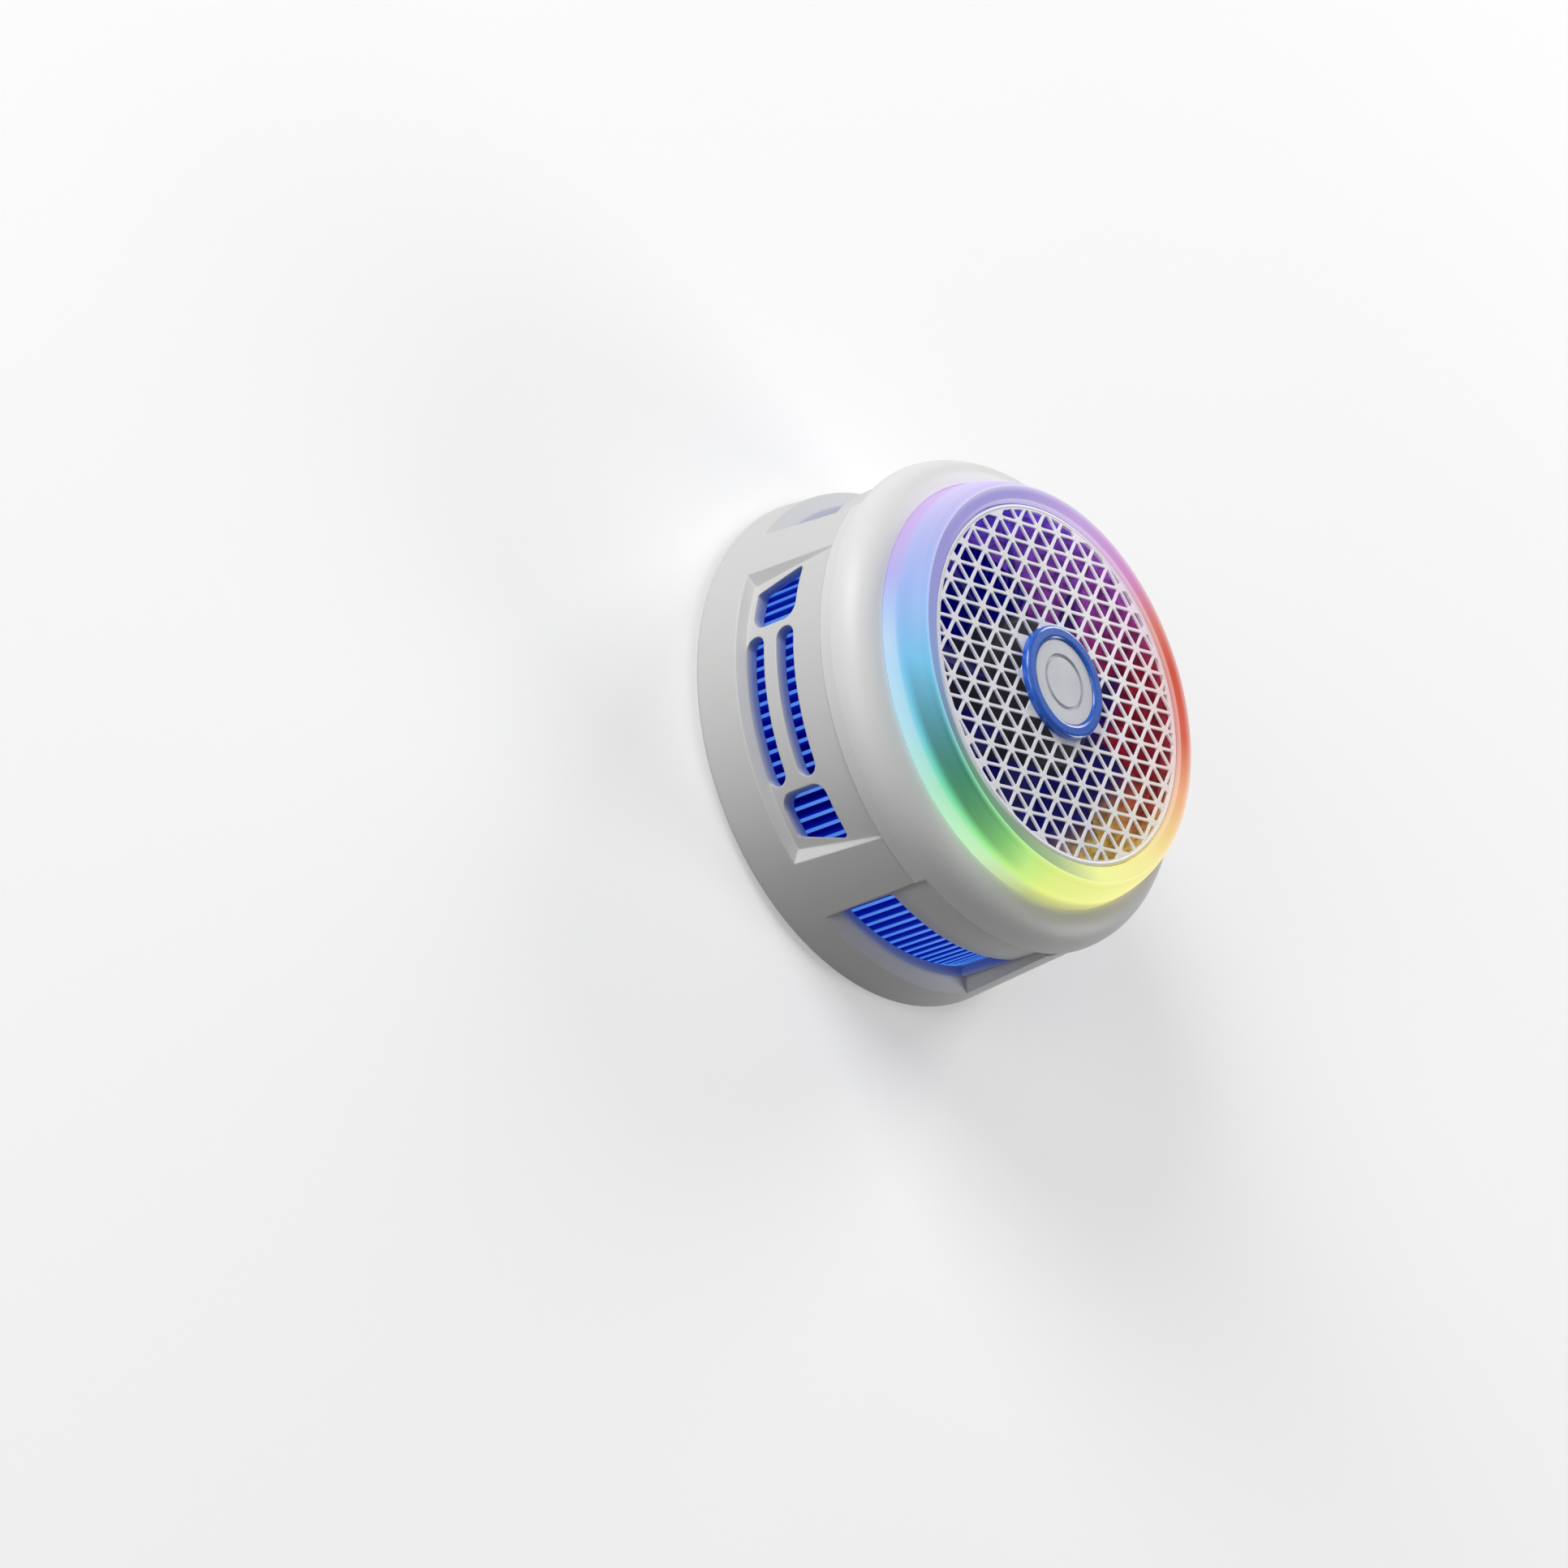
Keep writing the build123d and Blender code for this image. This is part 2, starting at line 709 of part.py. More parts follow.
# Rear cover: holds the cold plate by a ledge, the magnets in a round trough and the heat sink on its walls
with BuildPart() as rear_cover:
    with BuildSketch(Plane.XZ):
        Polygon(
            (cold_plate_radius + fit_gap, cover_z),
            (cover_radius, cover_z),
            (cover_radius, cover_z + cover_flange_thickness),
            (housing_bore - fit_gap, cover_z + cover_flange_thickness),
            (housing_bore - fit_gap, sink_z),
            (trough_outer, sink_z),
            (trough_outer, cover_z + pocket_floor),
            (trough_inner, cover_z + pocket_floor),
            (trough_inner, sink_z),
            (ledge_radius, sink_z),
            (ledge_radius, cold_plate_thickness),
            (cold_plate_radius + fit_gap, cold_plate_thickness),
            align=None,
        )
    revolve(axis=Axis.Z)
    with Locations(*around(cover_screw_circle_radius, cover_screw_angles, cover_z)):
        Cylinder(
            cover_screw_head_radius + fit_gap,
            cover_screw_head_height,
            align=(Align.CENTER, Align.CENTER, Align.MIN),
            mode=Mode.SUBTRACT,
        )
        Cylinder(
            cover_screw_radius + fit_gap,
            cover_flange_thickness,
            align=(Align.CENTER, Align.CENTER, Align.MIN),
            mode=Mode.SUBTRACT,
        )
rear_cover.part.label = "rear_cover"
export_step(rear_cover.part, "parts/rear_cover.step")

# Cover screws: four small pan heads under the soft face ring
with BuildPart() as cover_screws:
    with Locations(*around(cover_screw_circle_radius, cover_screw_angles, cover_z)):
        Cylinder(
            cover_screw_head_radius,
            cover_screw_head_height,
            align=(Align.CENTER, Align.CENTER, Align.MIN),
        )
        Cylinder(
            cover_screw_radius,
            cover_screw_head_height + cover_screw_length,
            align=(Align.CENTER, Align.CENTER, Align.MIN),
        )
cover_screws.part.label = "cover_screws"
export_step(cover_screws.part, "parts/cover_screws.step")

# Magnets: a ring of arcs in the trough, with a steel yoke behind them
magnet_z = cover_z + pocket_floor
with BuildPart() as magnets:
    with BuildSketch(Plane.XY.offset(magnet_z)):
        Circle(magnet_outer)
        Circle(magnet_inner, mode=Mode.SUBTRACT)
        with PolarLocations((magnet_inner + magnet_outer) / 2, magnet_count):
            Rectangle(magnet_outer - magnet_inner + overrun, magnet_spacing, mode=Mode.SUBTRACT)
    extrude(amount=magnet_height)
magnets.part.label = "magnets"
export_step(magnets.part, "parts/magnets.step")

with BuildPart() as magnet_yoke:
    with BuildSketch(Plane.XY.offset(magnet_z + magnet_height)):
        Circle(magnet_outer)
        Circle(magnet_inner, mode=Mode.SUBTRACT)
    extrude(amount=yoke_thickness)
magnet_yoke.part.label = "magnet_yoke"
export_step(magnet_yoke.part, "parts/magnet_yoke.step")

# Soft face ring: silicone round the cold plate that grips the phone and hides the screws
with BuildPart() as face_pad:
    with BuildSketch():
        Circle(cover_radius - loose_gap)
        Circle(cold_plate_radius + fit_gap, mode=Mode.SUBTRACT)
    extrude(amount=face_pad_thickness)
face_pad.part.label = "face_pad"
export_step(face_pad.part, "parts/face_pad.step")

# Heat sink: radial fins on a round base, cleared round the control board
fin_inner_radius = sink_radius - fin_length
long_fin_inner_radius = sink_radius - long_fin_length
with BuildPart() as heat_sink:
    with BuildSketch(Plane.XY.offset(sink_z)):
        Circle(sink_radius)
        with Locations(*around(post_circle_radius, post_angles, 0)):
            Circle(sink_screw_radius + fit_gap, mode=Mode.SUBTRACT)
        with Locations((lead_x, 0)):
            Rectangle(4 * lead_radius, lead_spread + 4 * lead_radius, mode=Mode.SUBTRACT)
    extrude(amount=sink_base_thickness)
    with BuildSketch(Plane.XY.offset(fin_z)):
        with PolarLocations((fin_inner_radius + sink_radius) / 2, fin_count):
            Rectangle(sink_radius - fin_inner_radius, fin_thickness)
        with PolarLocations((long_fin_inner_radius + sink_radius) / 2, long_fin_count):
            Rectangle(sink_radius - long_fin_inner_radius, fin_thickness)
        with Locations(*around(post_circle_radius, post_angles, 0)):
            Circle(sink_screw_head_radius + loose_gap, mode=Mode.SUBTRACT)
        with Locations((board_inner_x - loose_gap, 0)):
            Rectangle(
                sink_radius,
                board_width + 2 * loose_gap,
                align=(Align.MIN, Align.CENTER),
                mode=Mode.SUBTRACT,
            )
    extrude(amount=fin_height)
heat_sink.part.label = "heat_sink"
export_step(heat_sink.part, "parts/heat_sink.step")

with BuildPart() as heat_sink_screws:
    with Locations(*around(post_circle_radius, post_angles, fin_z)):
        Cylinder(
            sink_screw_head_radius,
            sink_screw_head_height,
            align=(Align.CENTER, Align.CENTER, Align.MIN),
        )
        Cylinder(
            sink_screw_radius,
            fin_z - cold_plate_thickness - loose_gap,
            align=(Align.CENTER, Align.CENTER, Align.MAX),
        )
heat_sink_screws.part.label = "heat_sink_screws"
export_step(heat_sink_screws.part, "parts/heat_sink_screws.step")

# Fan frame: motor base on four struts, a shroud round the blades and a flange on the housing's ears
bearing_radius = shaft_radius + bearing_gap + bearing_wall
bearing_tube_radius = bearing_radius + bearing_tube_wall
bearing_z = motor_base_top + thrust_pad_thickness + fit_gap
bearing_tube_top = bearing_z + bearing_length
flange_radius = housing_bore - fit_gap
with BuildPart() as fan_frame:
    with BuildSketch(Plane.XY.offset(frame_z)):
        Circle(shroud_radius)
        Circle(shroud_bore, mode=Mode.SUBTRACT)
    extrude(amount=ledge_z - loose_gap - frame_z)
    with BuildSketch(Plane.XY.offset(flange_z)):
        Circle(flange_radius)
        Circle(shroud_bore, mode=Mode.SUBTRACT)
        with Locations(*around(frame_screw_circle_radius, frame_screw_angles, 0)):
            Circle(frame_screw_radius + fit_gap, mode=Mode.SUBTRACT)
    extrude(amount=frame_flange_thickness)
    with BuildSketch(Plane.XY.offset(frame_z)):
        Circle(motor_base_radius)
        with PolarLocations((motor_base_radius + shroud_bore) / 2, strut_count, start_angle=45):
            Rectangle(shroud_radius - motor_base_radius, strut_width)
    extrude(amount=motor_base_thickness)
    with BuildSketch(Plane.XY.offset(motor_base_top)):
        Circle(bearing_tube_radius)
        Circle(bearing_radius, mode=Mode.SUBTRACT)
    extrude(amount=bearing_tube_top - motor_base_top)
fan_frame.part.label = "fan_frame"
export_step(fan_frame.part, "parts/fan_frame.step")

with BuildPart() as frame_screws:
    with Locations(*around(frame_screw_circle_radius, frame_screw_angles, light_board_top)):
        Cylinder(
            frame_screw_head_radius,
            frame_screw_head_height,
            align=(Align.CENTER, Align.CENTER, Align.MIN),
        )
        Cylinder(
            frame_screw_radius,
            frame_screw_length,
            align=(Align.CENTER, Align.CENTER, Align.MAX),
        )
frame_screws.part.label = "frame_screws"
export_step(frame_screws.part, "parts/frame_screws.step")

# Fan motor, fixed pieces: thrust pad, bearing, motor board, stator and its four coils
with BuildPart() as thrust_pad:
    with BuildSketch(Plane.XY.offset(motor_base_top)):
        Circle(bearing_radius - fit_gap / 2)
    extrude(amount=thrust_pad_thickness)
thrust_pad.part.label = "thrust_pad"
export_step(thrust_pad.part, "parts/thrust_pad.step")

with BuildPart() as bearing_sleeve:
    with BuildSketch(Plane.XY.offset(bearing_z)):
        Circle(bearing_radius)
        Circle(shaft_radius + bearing_gap, mode=Mode.SUBTRACT)
    extrude(amount=bearing_length)
bearing_sleeve.part.label = "bearing_sleeve"
export_step(bearing_sleeve.part, "parts/bearing_sleeve.step")

with BuildPart() as motor_board:
    with BuildSketch(Plane.XY.offset(motor_base_top)):
        Circle(motor_board_radius)
        Circle(bearing_tube_radius + fit_gap, mode=Mode.SUBTRACT)
    extrude(amount=motor_board_thickness)
motor_board.part.label = "motor_board"
export_step(motor_board.part, "parts/motor_board.step")

stator_z = motor_board_top + stator_lift
stator_bore = bearing_tube_radius
stator_hub_radius = stator_bore + stator_hub_wall
shoe_inner = stator_radius - stator_shoe_thickness
with BuildPart() as stator_core:
    with BuildSketch(Plane.XY.offset(stator_z)):
        with PolarLocations(stator_radius - stator_shoe_thickness / 2, pole_count):
            Rectangle(stator_shoe_thickness, stator_shoe_width)
        with PolarLocations(stator_radius / 2, pole_count):
            Rectangle(stator_radius, stator_pole_width)
        Circle(stator_radius, mode=Mode.INTERSECT)
        Circle(stator_hub_radius)
        Circle(stator_bore, mode=Mode.SUBTRACT)
    extrude(amount=stator_height)
stator_core.part.label = "stator_core"
export_step(stator_core.part, "parts/stator_core.step")

coil_x = shoe_inner - fit_gap - coil_length / 2
with BuildPart() as stator_coils:
    with Locations(*around(coil_x, [360 / pole_count * i for i in range(pole_count)], stator_z)):
        with Locations((0, 0, stator_height / 2)):
            Box(coil_length, coil_width, stator_height + 2 * coil_overhang)
            Box(
                coil_length,
                stator_pole_width + fit_gap,
                stator_height + fit_gap,
                mode=Mode.SUBTRACT,
            )
stator_coils.part.label = "stator_coils"
export_step(stator_coils.part, "parts/stator_coils.step")

# Fan rotor: shaft, ring magnet and steel cup, all carried inside the impeller's hub
magnet_bore = stator_radius + rotor_magnet_gap
cup_bore = magnet_bore + rotor_magnet_thickness
cup_radius = cup_bore + cup_thickness
cup_top = hub_top - hub_wall - shaft_grip / 2
cup_inside = cup_top - cup_thickness
with BuildPart() as rotor_magnet:
    with BuildSketch(Plane.XY.offset(cup_inside - rotor_magnet_height)):
        Circle(cup_bore)
        Circle(magnet_bore, mode=Mode.SUBTRACT)
    extrude(amount=rotor_magnet_height)
rotor_magnet.part.label = "rotor_magnet"
export_step(rotor_magnet.part, "parts/rotor_magnet.step")

with BuildPart() as rotor_cup:
    with BuildSketch(Plane.XZ):
        Polygon(
            (shaft_radius, cup_inside),
            (cup_bore, cup_inside),
            (cup_bore, cup_inside - rotor_magnet_height - fit_gap),
            (cup_radius, cup_inside - rotor_magnet_height - fit_gap),
            (cup_radius, cup_top),
            (shaft_radius, cup_top),
            align=None,
        )
    revolve(axis=Axis.Z)
rotor_cup.part.label = "rotor_cup"
export_step(rotor_cup.part, "parts/rotor_cup.step")

shaft_z = motor_base_top + thrust_pad_thickness + fit_gap / 2
with BuildPart() as rotor_shaft:
    with BuildSketch(Plane.XY.offset(shaft_z)):
        Circle(shaft_radius)
    extrude(amount=cup_top + shaft_grip / 2 - shaft_z)
rotor_shaft.part.label = "rotor_shaft"
export_step(rotor_shaft.part, "parts/rotor_shaft.step")

# One fan blade: a twisted, cambered plate lofted from the hub and trimmed to the tip circle
hub_radius = cup_radius + hub_wall
blade_mid_z = rotor_z + hub_height / 2
with BuildPart() as blade:
    for x, height, pitch in (
        (hub_radius - hub_wall, blade_root_height, blade_root_pitch),
        (blade_tip_radius + blade_tip_gap, blade_tip_height, blade_tip_pitch),
    ):
        half_run = height / 2 / tan(radians(pitch))
        across_y, across_z = -sin(radians(pitch)), cos(radians(pitch))
        edge = blade_edge_thickness / 2
        with BuildSketch(Plane.YZ.offset(x)):
            with BuildLine():
                faces = []
                for side in (1, -1):
                    bow = blade_camber + side * (blade_thickness - blade_edge_thickness) / 2
                    faces.append(
                        ThreePointArc(
                            (
                                -half_run + side * edge * across_y,
                                blade_mid_z - height / 2 + side * edge * across_z,
                            ),
                            (
                                (bow + side * edge) * across_y,
                                blade_mid_z + (bow + side * edge) * across_z,
                            ),
                            (
                                half_run + side * edge * across_y,
                                blade_mid_z + height / 2 + side * edge * across_z,
                            ),
                        )
                    )
                Line(faces[0] @ 0, faces[1] @ 0)
                Line(faces[0] @ 1, faces[1] @ 1)
            make_face()
    loft()
    Cylinder(blade_tip_radius, 2 * hub_top, mode=Mode.INTERSECT)

# Impeller: moulded hub cup with its blades
with BuildPart() as fan_impeller:
    with BuildSketch(Plane.XZ) as hub_section:
        with Locations((hub_radius / 2, blade_mid_z)):
            Rectangle(hub_radius, hub_height)
        rim_corner = hub_section.vertices().group_by(Axis.X)[-1].sort_by(Axis.Z)[-1]
        fillet(rim_corner, radius=hub_round)
    revolve(axis=Axis.Z)
    with PolarLocations(0, blade_count):
        add(blade.part)
    with BuildSketch(Plane.XY.offset(rotor_z)):
        Circle(cup_radius)
    extrude(amount=cup_top - rotor_z, mode=Mode.SUBTRACT)
    with BuildSketch(Plane.XY.offset(cup_top)):
        Circle(shaft_radius)
    extrude(amount=shaft_grip / 2, mode=Mode.SUBTRACT)
fan_impeller.part.label = "fan_impeller"
export_step(fan_impeller.part, "parts/fan_impeller.step")

# Light board: an annular circuit board on the fan frame's flange, under the ring of LEDs
led_radius = ring_bore + ring_wall / 2
with BuildPart() as light_board:
    with BuildSketch(Plane.XY.offset(light_board_z)):
        Circle(flange_radius)
        Circle(shroud_radius + fit_gap, mode=Mode.SUBTRACT)
        with Locations(*around(frame_screw_circle_radius, frame_screw_angles, 0)):
            Circle(frame_screw_radius + fit_gap, mode=Mode.SUBTRACT)
    extrude(amount=light_board_thickness)
light_board.part.label = "light_board"
export_step(light_board.part, "parts/light_board.step")

with BuildPart() as leds:
    with BuildSketch(Plane.XY.offset(light_board_top)):
        with PolarLocations(led_radius, led_count, start_angle=180 / led_count):
            Rectangle(led_side, led_side)
    extrude(amount=led_height)
leds.part.label = "leds"
export_step(leds.part, "parts/leds.step")

# Control board on its shelf behind the socket, with its chips, screws and the socket itself
board_outer_x = housing_bore - fit_gap
board_screw_x = housing_bore - board_screw_inset
with BuildPart() as control_board:
    with BuildSketch(Plane.XY.offset(board_z)):
        with Locations(((board_inner_x + board_outer_x) / 2, 0)):
            Rectangle(board_outer_x - board_inner_x, board_width)
        Circle(board_outer_x, mode=Mode.INTERSECT)
        with Locations((board_screw_x, board_screw_offset), (board_screw_x, -board_screw_offset)):
            Circle(board_screw_radius + fit_gap, mode=Mode.SUBTRACT)
    extrude(amount=board_thickness)
control_board.part.label = "control_board"
export_step(control_board.part, "parts/control_board.step")

with BuildPart() as board_screws:
    with Locations(
        (board_screw_x, board_screw_offset, board_top), (board_screw_x, -board_screw_offset, board_top)
    ):
        Cylinder(
            board_screw_head_radius,
            board_screw_head_height,
            align=(Align.CENTER, Align.CENTER, Align.MIN),
        )
        Cylinder(
            board_screw_radius,
            board_thickness + board_lift - loose_gap,
            align=(Align.CENTER, Align.CENTER, Align.MAX),
        )
board_screws.part.label = "board_screws"
export_step(board_screws.part, "parts/board_screws.step")

socket_outer_x = skirt_radius(socket_z) - socket_inset
socket_inner_x = socket_outer_x - socket_length
with BuildPart() as socket_shell:
    with BuildSketch(Plane.YZ.offset(socket_inner_x)):
        with Locations((0, socket_z)):
            SlotOverall(socket_width, socket_height)
    extrude(amount=socket_length)
    with BuildSketch(Plane.YZ.offset(socket_inner_x + socket_wall)):
        with Locations((0, socket_z)):
            SlotOverall(socket_width - 2 * socket_wall, socket_height - 2 * socket_wall)
    extrude(amount=socket_length, mode=Mode.SUBTRACT)
socket_shell.part.label = "socket_shell"
export_step(socket_shell.part, "parts/socket_shell.step")

with BuildPart() as socket_tongue:
    with Locations((socket_inner_x + socket_wall, 0, socket_z)):
        Box(
            socket_length - socket_wall - tongue_plate_setback,
            tongue_plate_width,
            tongue_plate_thickness,
            align=(Align.MIN, Align.CENTER, Align.CENTER),
        )
socket_tongue.part.label = "socket_tongue"
export_step(socket_tongue.part, "parts/socket_tongue.step")

# Board parts: controller, inductor and two capacitors behind the socket
chip_x = (board_inner_x + socket_inner_x) / 2
with BuildPart() as board_parts:
    with Locations((chip_x, -chip_side / 2 - loose_gap, board_top)):
        Box(chip_side, chip_side, chip_height, align=(Align.CENTER, Align.CENTER, Align.MIN))
    with Locations((chip_x, inductor_side / 2 + loose_gap, board_top)):
        Box(
            inductor_side,
            inductor_side,
            inductor_height,
            align=(Align.CENTER, Align.CENTER, Align.MIN),
        )
    with Locations(
        (chip_x, board_width / 2 - capacitor_side, board_top),
        (chip_x, -board_width / 2 + capacitor_side, board_top),
    ):
        Box(
            capacitor_side,
            capacitor_side,
            capacitor_side,
            align=(Align.CENTER, Align.CENTER, Align.MIN),
        )
board_parts.part.label = "board_parts"
export_step(board_parts.part, "parts/board_parts.step")
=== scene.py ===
import math

import bpy
from mathutils import Euler, Matrix, Vector


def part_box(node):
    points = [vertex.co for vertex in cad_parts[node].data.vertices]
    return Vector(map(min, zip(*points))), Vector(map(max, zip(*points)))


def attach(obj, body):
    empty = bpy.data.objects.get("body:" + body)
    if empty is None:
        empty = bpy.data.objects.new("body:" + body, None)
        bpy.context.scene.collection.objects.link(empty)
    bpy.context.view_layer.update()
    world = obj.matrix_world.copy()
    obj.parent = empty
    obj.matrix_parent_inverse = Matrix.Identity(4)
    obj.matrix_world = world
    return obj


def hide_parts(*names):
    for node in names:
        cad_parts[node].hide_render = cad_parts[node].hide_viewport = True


# Camera
# A long lens looks down on the cooler from the side of its four-hole window, with the grille turned to the
# right of the picture.
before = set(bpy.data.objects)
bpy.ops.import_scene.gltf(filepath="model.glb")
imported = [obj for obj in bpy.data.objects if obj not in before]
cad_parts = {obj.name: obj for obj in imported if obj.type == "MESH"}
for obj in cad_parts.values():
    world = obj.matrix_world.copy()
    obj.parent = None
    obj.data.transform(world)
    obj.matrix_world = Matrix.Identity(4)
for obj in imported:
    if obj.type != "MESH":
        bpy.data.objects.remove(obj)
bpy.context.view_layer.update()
camera_place = (-0.42163, -0.13556, 0.33186)
camera_turn = (24.133, -47.565, -13.396)
camera = bpy.data.objects.new("camera", bpy.data.cameras.new("camera"))
bpy.context.scene.collection.objects.link(camera)
camera.data.lens = 104.35
camera.data.sensor_width = 36
camera_angles = Euler([math.radians(angle) for angle in camera_turn])
camera.matrix_world = Matrix.LocRotScale(Vector(camera_place), camera_angles, None)
bpy.context.scene.camera = camera
bpy.context.scene.view_settings.view_transform = "Standard"


# Cold plate and heat sink screws
# The plate is a turned aluminium disc, faced on a lathe, so fine circles run round its middle. Steel screws
# in its posts pull the heat sink down on the module.
def put(tree, kind, sockets=(), **settings):
    """A new shader node with its settings, its socket values and its links."""
    made = tree.nodes.new(kind)
    for name, value in settings.items():
        setattr(made, name, value)
    for name, value in dict(sockets).items():
        if isinstance(value, bpy.types.NodeSocket):
            tree.links.new(value, made.inputs[name])
        else:
            made.inputs[name].default_value = value
    return made


def combine(tree, operation, *values, clamp=False):
    """The result of one sum on links or numbers."""
    terms = dict(enumerate(values))
    return put(tree, "ShaderNodeMath", terms, operation=operation, use_clamp=clamp).outputs[0]


def between(tree, value, start, end, low=0.0, high=1.0, easing="LINEAR"):
    """A value that goes from low to high as the one given goes from start to end, and is held outside."""
    span = {0: value, 1: start, 2: end, 3: low, 4: high}
    return put(tree, "ShaderNodeMapRange", span, interpolation_type=easing).outputs[0]


def blend_of(tree, share, first, second, kind="MIX"):
    """The mix of two colours, each a link or a linear colour, by that share of the second."""
    colours = {6: first, 7: second}
    values = {socket: c if isinstance(c, bpy.types.NodeSocket) else (*c, 1) for socket, c in colours.items()}
    return put(tree, "ShaderNodeMix", {0: share, **values}, data_type="RGBA", blend_type=kind).outputs[2]


def axis_radius(tree):
    """How far each point lies from the fan's axis, in metres, with its place as it is."""
    place = put(tree, "ShaderNodeTexCoord").outputs["Object"]
    flat = put(tree, "ShaderNodeVectorMath", {0: place, 1: (1, 1, 0)}, operation="MULTIPLY").outputs[0]
    return put(tree, "ShaderNodeVectorMath", {0: flat}, operation="LENGTH").outputs["Value"], place


def effect(name, inputs, outputs):
    """An empty node group with its named inputs and outputs."""
    group = bpy.data.node_groups.new(name, "ShaderNodeTree")
    for label, kind, value in inputs:
        socket = group.interface.new_socket(label, in_out="INPUT", socket_type=kind)
        socket.default_value = value
    for label, kind in outputs:
        group.interface.new_socket(label, in_out="OUTPUT", socket_type=kind)
    return group, group.nodes.new("NodeGroupInput"), group.nodes.new("NodeGroupOutput")


def surface_effect(name, *more_inputs):
    """A group that takes a colour and a roughness, and gives both back with a height."""
    inputs = [("Colour", "NodeSocketColor", (0.8, 0.8, 0.8, 1)), ("Roughness", "NodeSocketFloat", 0.5)]
    outputs = [(label, kind) for label, kind, value in inputs]
    return effect(name, [*inputs, *more_inputs], [*outputs, ("Height", "NodeSocketFloat")])


def give_surface(group, given, result, tone, texture, dullness):
    """Shades the given colour by a tone, roughens it by a texture and gives that texture as the height."""
    shade = blend_of(group, 1.0, given.outputs["Colour"], tone, "MULTIPLY")
    rough = combine(group, "ADD", given.outputs["Roughness"], between(group, texture, 0, 1, *dullness))
    for name, link in (("Colour", shade), ("Roughness", rough), ("Height", texture)):
        group.links.new(link, result.inputs[name])


def turned_marks():
    """Fine circles round the axis, as a lathe tool leaves them, with a slow change of tone."""
    group, given, result = surface_effect("turned_marks")
    radius, place = axis_radius(group)
    cuts = put(group, "ShaderNodeTexNoise", {"W": radius, "Scale": 9000, "Detail": 2}, noise_dimensions="1D")
    cloud = put(group, "ShaderNodeTexNoise", {"Vector": place, "Scale": 160, "Detail": 3})
    tone = between(group, cloud.outputs[0], 0, 1, 0.86, 1.06)
    give_surface(group, given, result, tone, cuts.outputs[0], (-0.08, 0.1))
    return group


def finish(name, colour, roughness, metallic=0.0):
    """A material with its shader set to a plain colour, and the tree that holds it."""
    material = bpy.data.materials.new(name)
    material.use_nodes = True
    shader = material.node_tree.nodes["Principled BSDF"]
    shader.inputs["Base Color"].default_value = (*colour, 1)
    shader.inputs["Roughness"].default_value = roughness
    shader.inputs["Metallic"].default_value = metallic
    return material, material.node_tree, shader


def wear_effect(tree, shader, group, colour, roughness, relief, **values):
    """Puts a shared effect in front of a shader, with a bump of that relief in metres."""
    spread = put(tree, "ShaderNodeGroup", node_tree=group)
    spread.inputs["Colour"].default_value = (*colour, 1)
    spread.inputs["Roughness"].default_value = roughness
    for name, value in values.items():
        spread.inputs[name].default_value = value
    bump = put(
        tree, "ShaderNodeBump", {"Height": spread.outputs["Height"], "Strength": 0.6, "Distance": relief}
    )
    tree.links.new(spread.outputs["Colour"], shader.inputs["Base Color"])
    tree.links.new(spread.outputs["Roughness"], shader.inputs["Roughness"])
    tree.links.new(bump.outputs[0], shader.inputs["Normal"])


def dress(material, *names):
    """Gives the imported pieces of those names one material."""
    for name in names:
        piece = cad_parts[name]
        piece.data.materials.clear()
        piece.data.materials.append(material)


lathe_marks = turned_marks()


def turned_metal(name, colour, roughness, relief, metallic=1.0):
    """A metal finish with the fine circles of a lathe."""
    material, tree, shader = finish(name, colour, roughness, metallic)
    wear_effect(tree, shader, lathe_marks, colour, roughness, relief)
    return material


dress(turned_metal("faced_aluminium", (0.8, 0.81, 0.83), 0.28, relief=0.00002), "cold_plate")
zinc_steel = turned_metal("zinc_steel", (0.6, 0.6, 0.62), 0.35, relief=0.00001)
dress(zinc_steel, "heat_sink_screws", "cover_screws", "frame_screws", "board_screws")


# Cooling module
# Two sheets of fired alumina hold rows of grey pellets between them. Red silicone leads run from the edge,
# black foam fills the space round it, and an epoxy bead reads the temperature.
def moulded_grain():
    """The faint pebble and slow clouds of tone that a moulded, cast or plated surface has."""
    group, given, result = surface_effect(
        "moulded_grain", ("Fineness", "NodeSocketFloat", 2600), ("Cloud", "NodeSocketFloat", 0.04)
    )
    place = put(group, "ShaderNodeTexCoord").outputs["Object"]
    grains = {"Vector": place, "Scale": given.outputs["Fineness"], "Detail": 3, "Roughness": 0.6}
    pebble = put(group, "ShaderNodeTexNoise", grains).outputs[0]
    clouds = {"Vector": place, "Scale": 55, "Detail": 4, "Roughness": 0.55}
    centred = combine(group, "ADD", put(group, "ShaderNodeTexNoise", clouds).outputs[0], -0.5)
    tone = combine(group, "MULTIPLY_ADD", centred, given.outputs["Cloud"], 1.0)
    give_surface(group, given, result, tone, pebble, (-0.05, 0.07))
    return group


grain = moulded_grain()


def grained(name, colour, roughness, relief=0.00002, fineness=2600, cloud=0.08, metallic=0.0):
    """A moulded, cast or plated finish that varies over its surface."""
    material, tree, shader = finish(name, colour, roughness, metallic)
    wear_effect(tree, shader, grain, colour, roughness, relief, Fineness=fineness, Cloud=cloud)
    return material, tree, shader


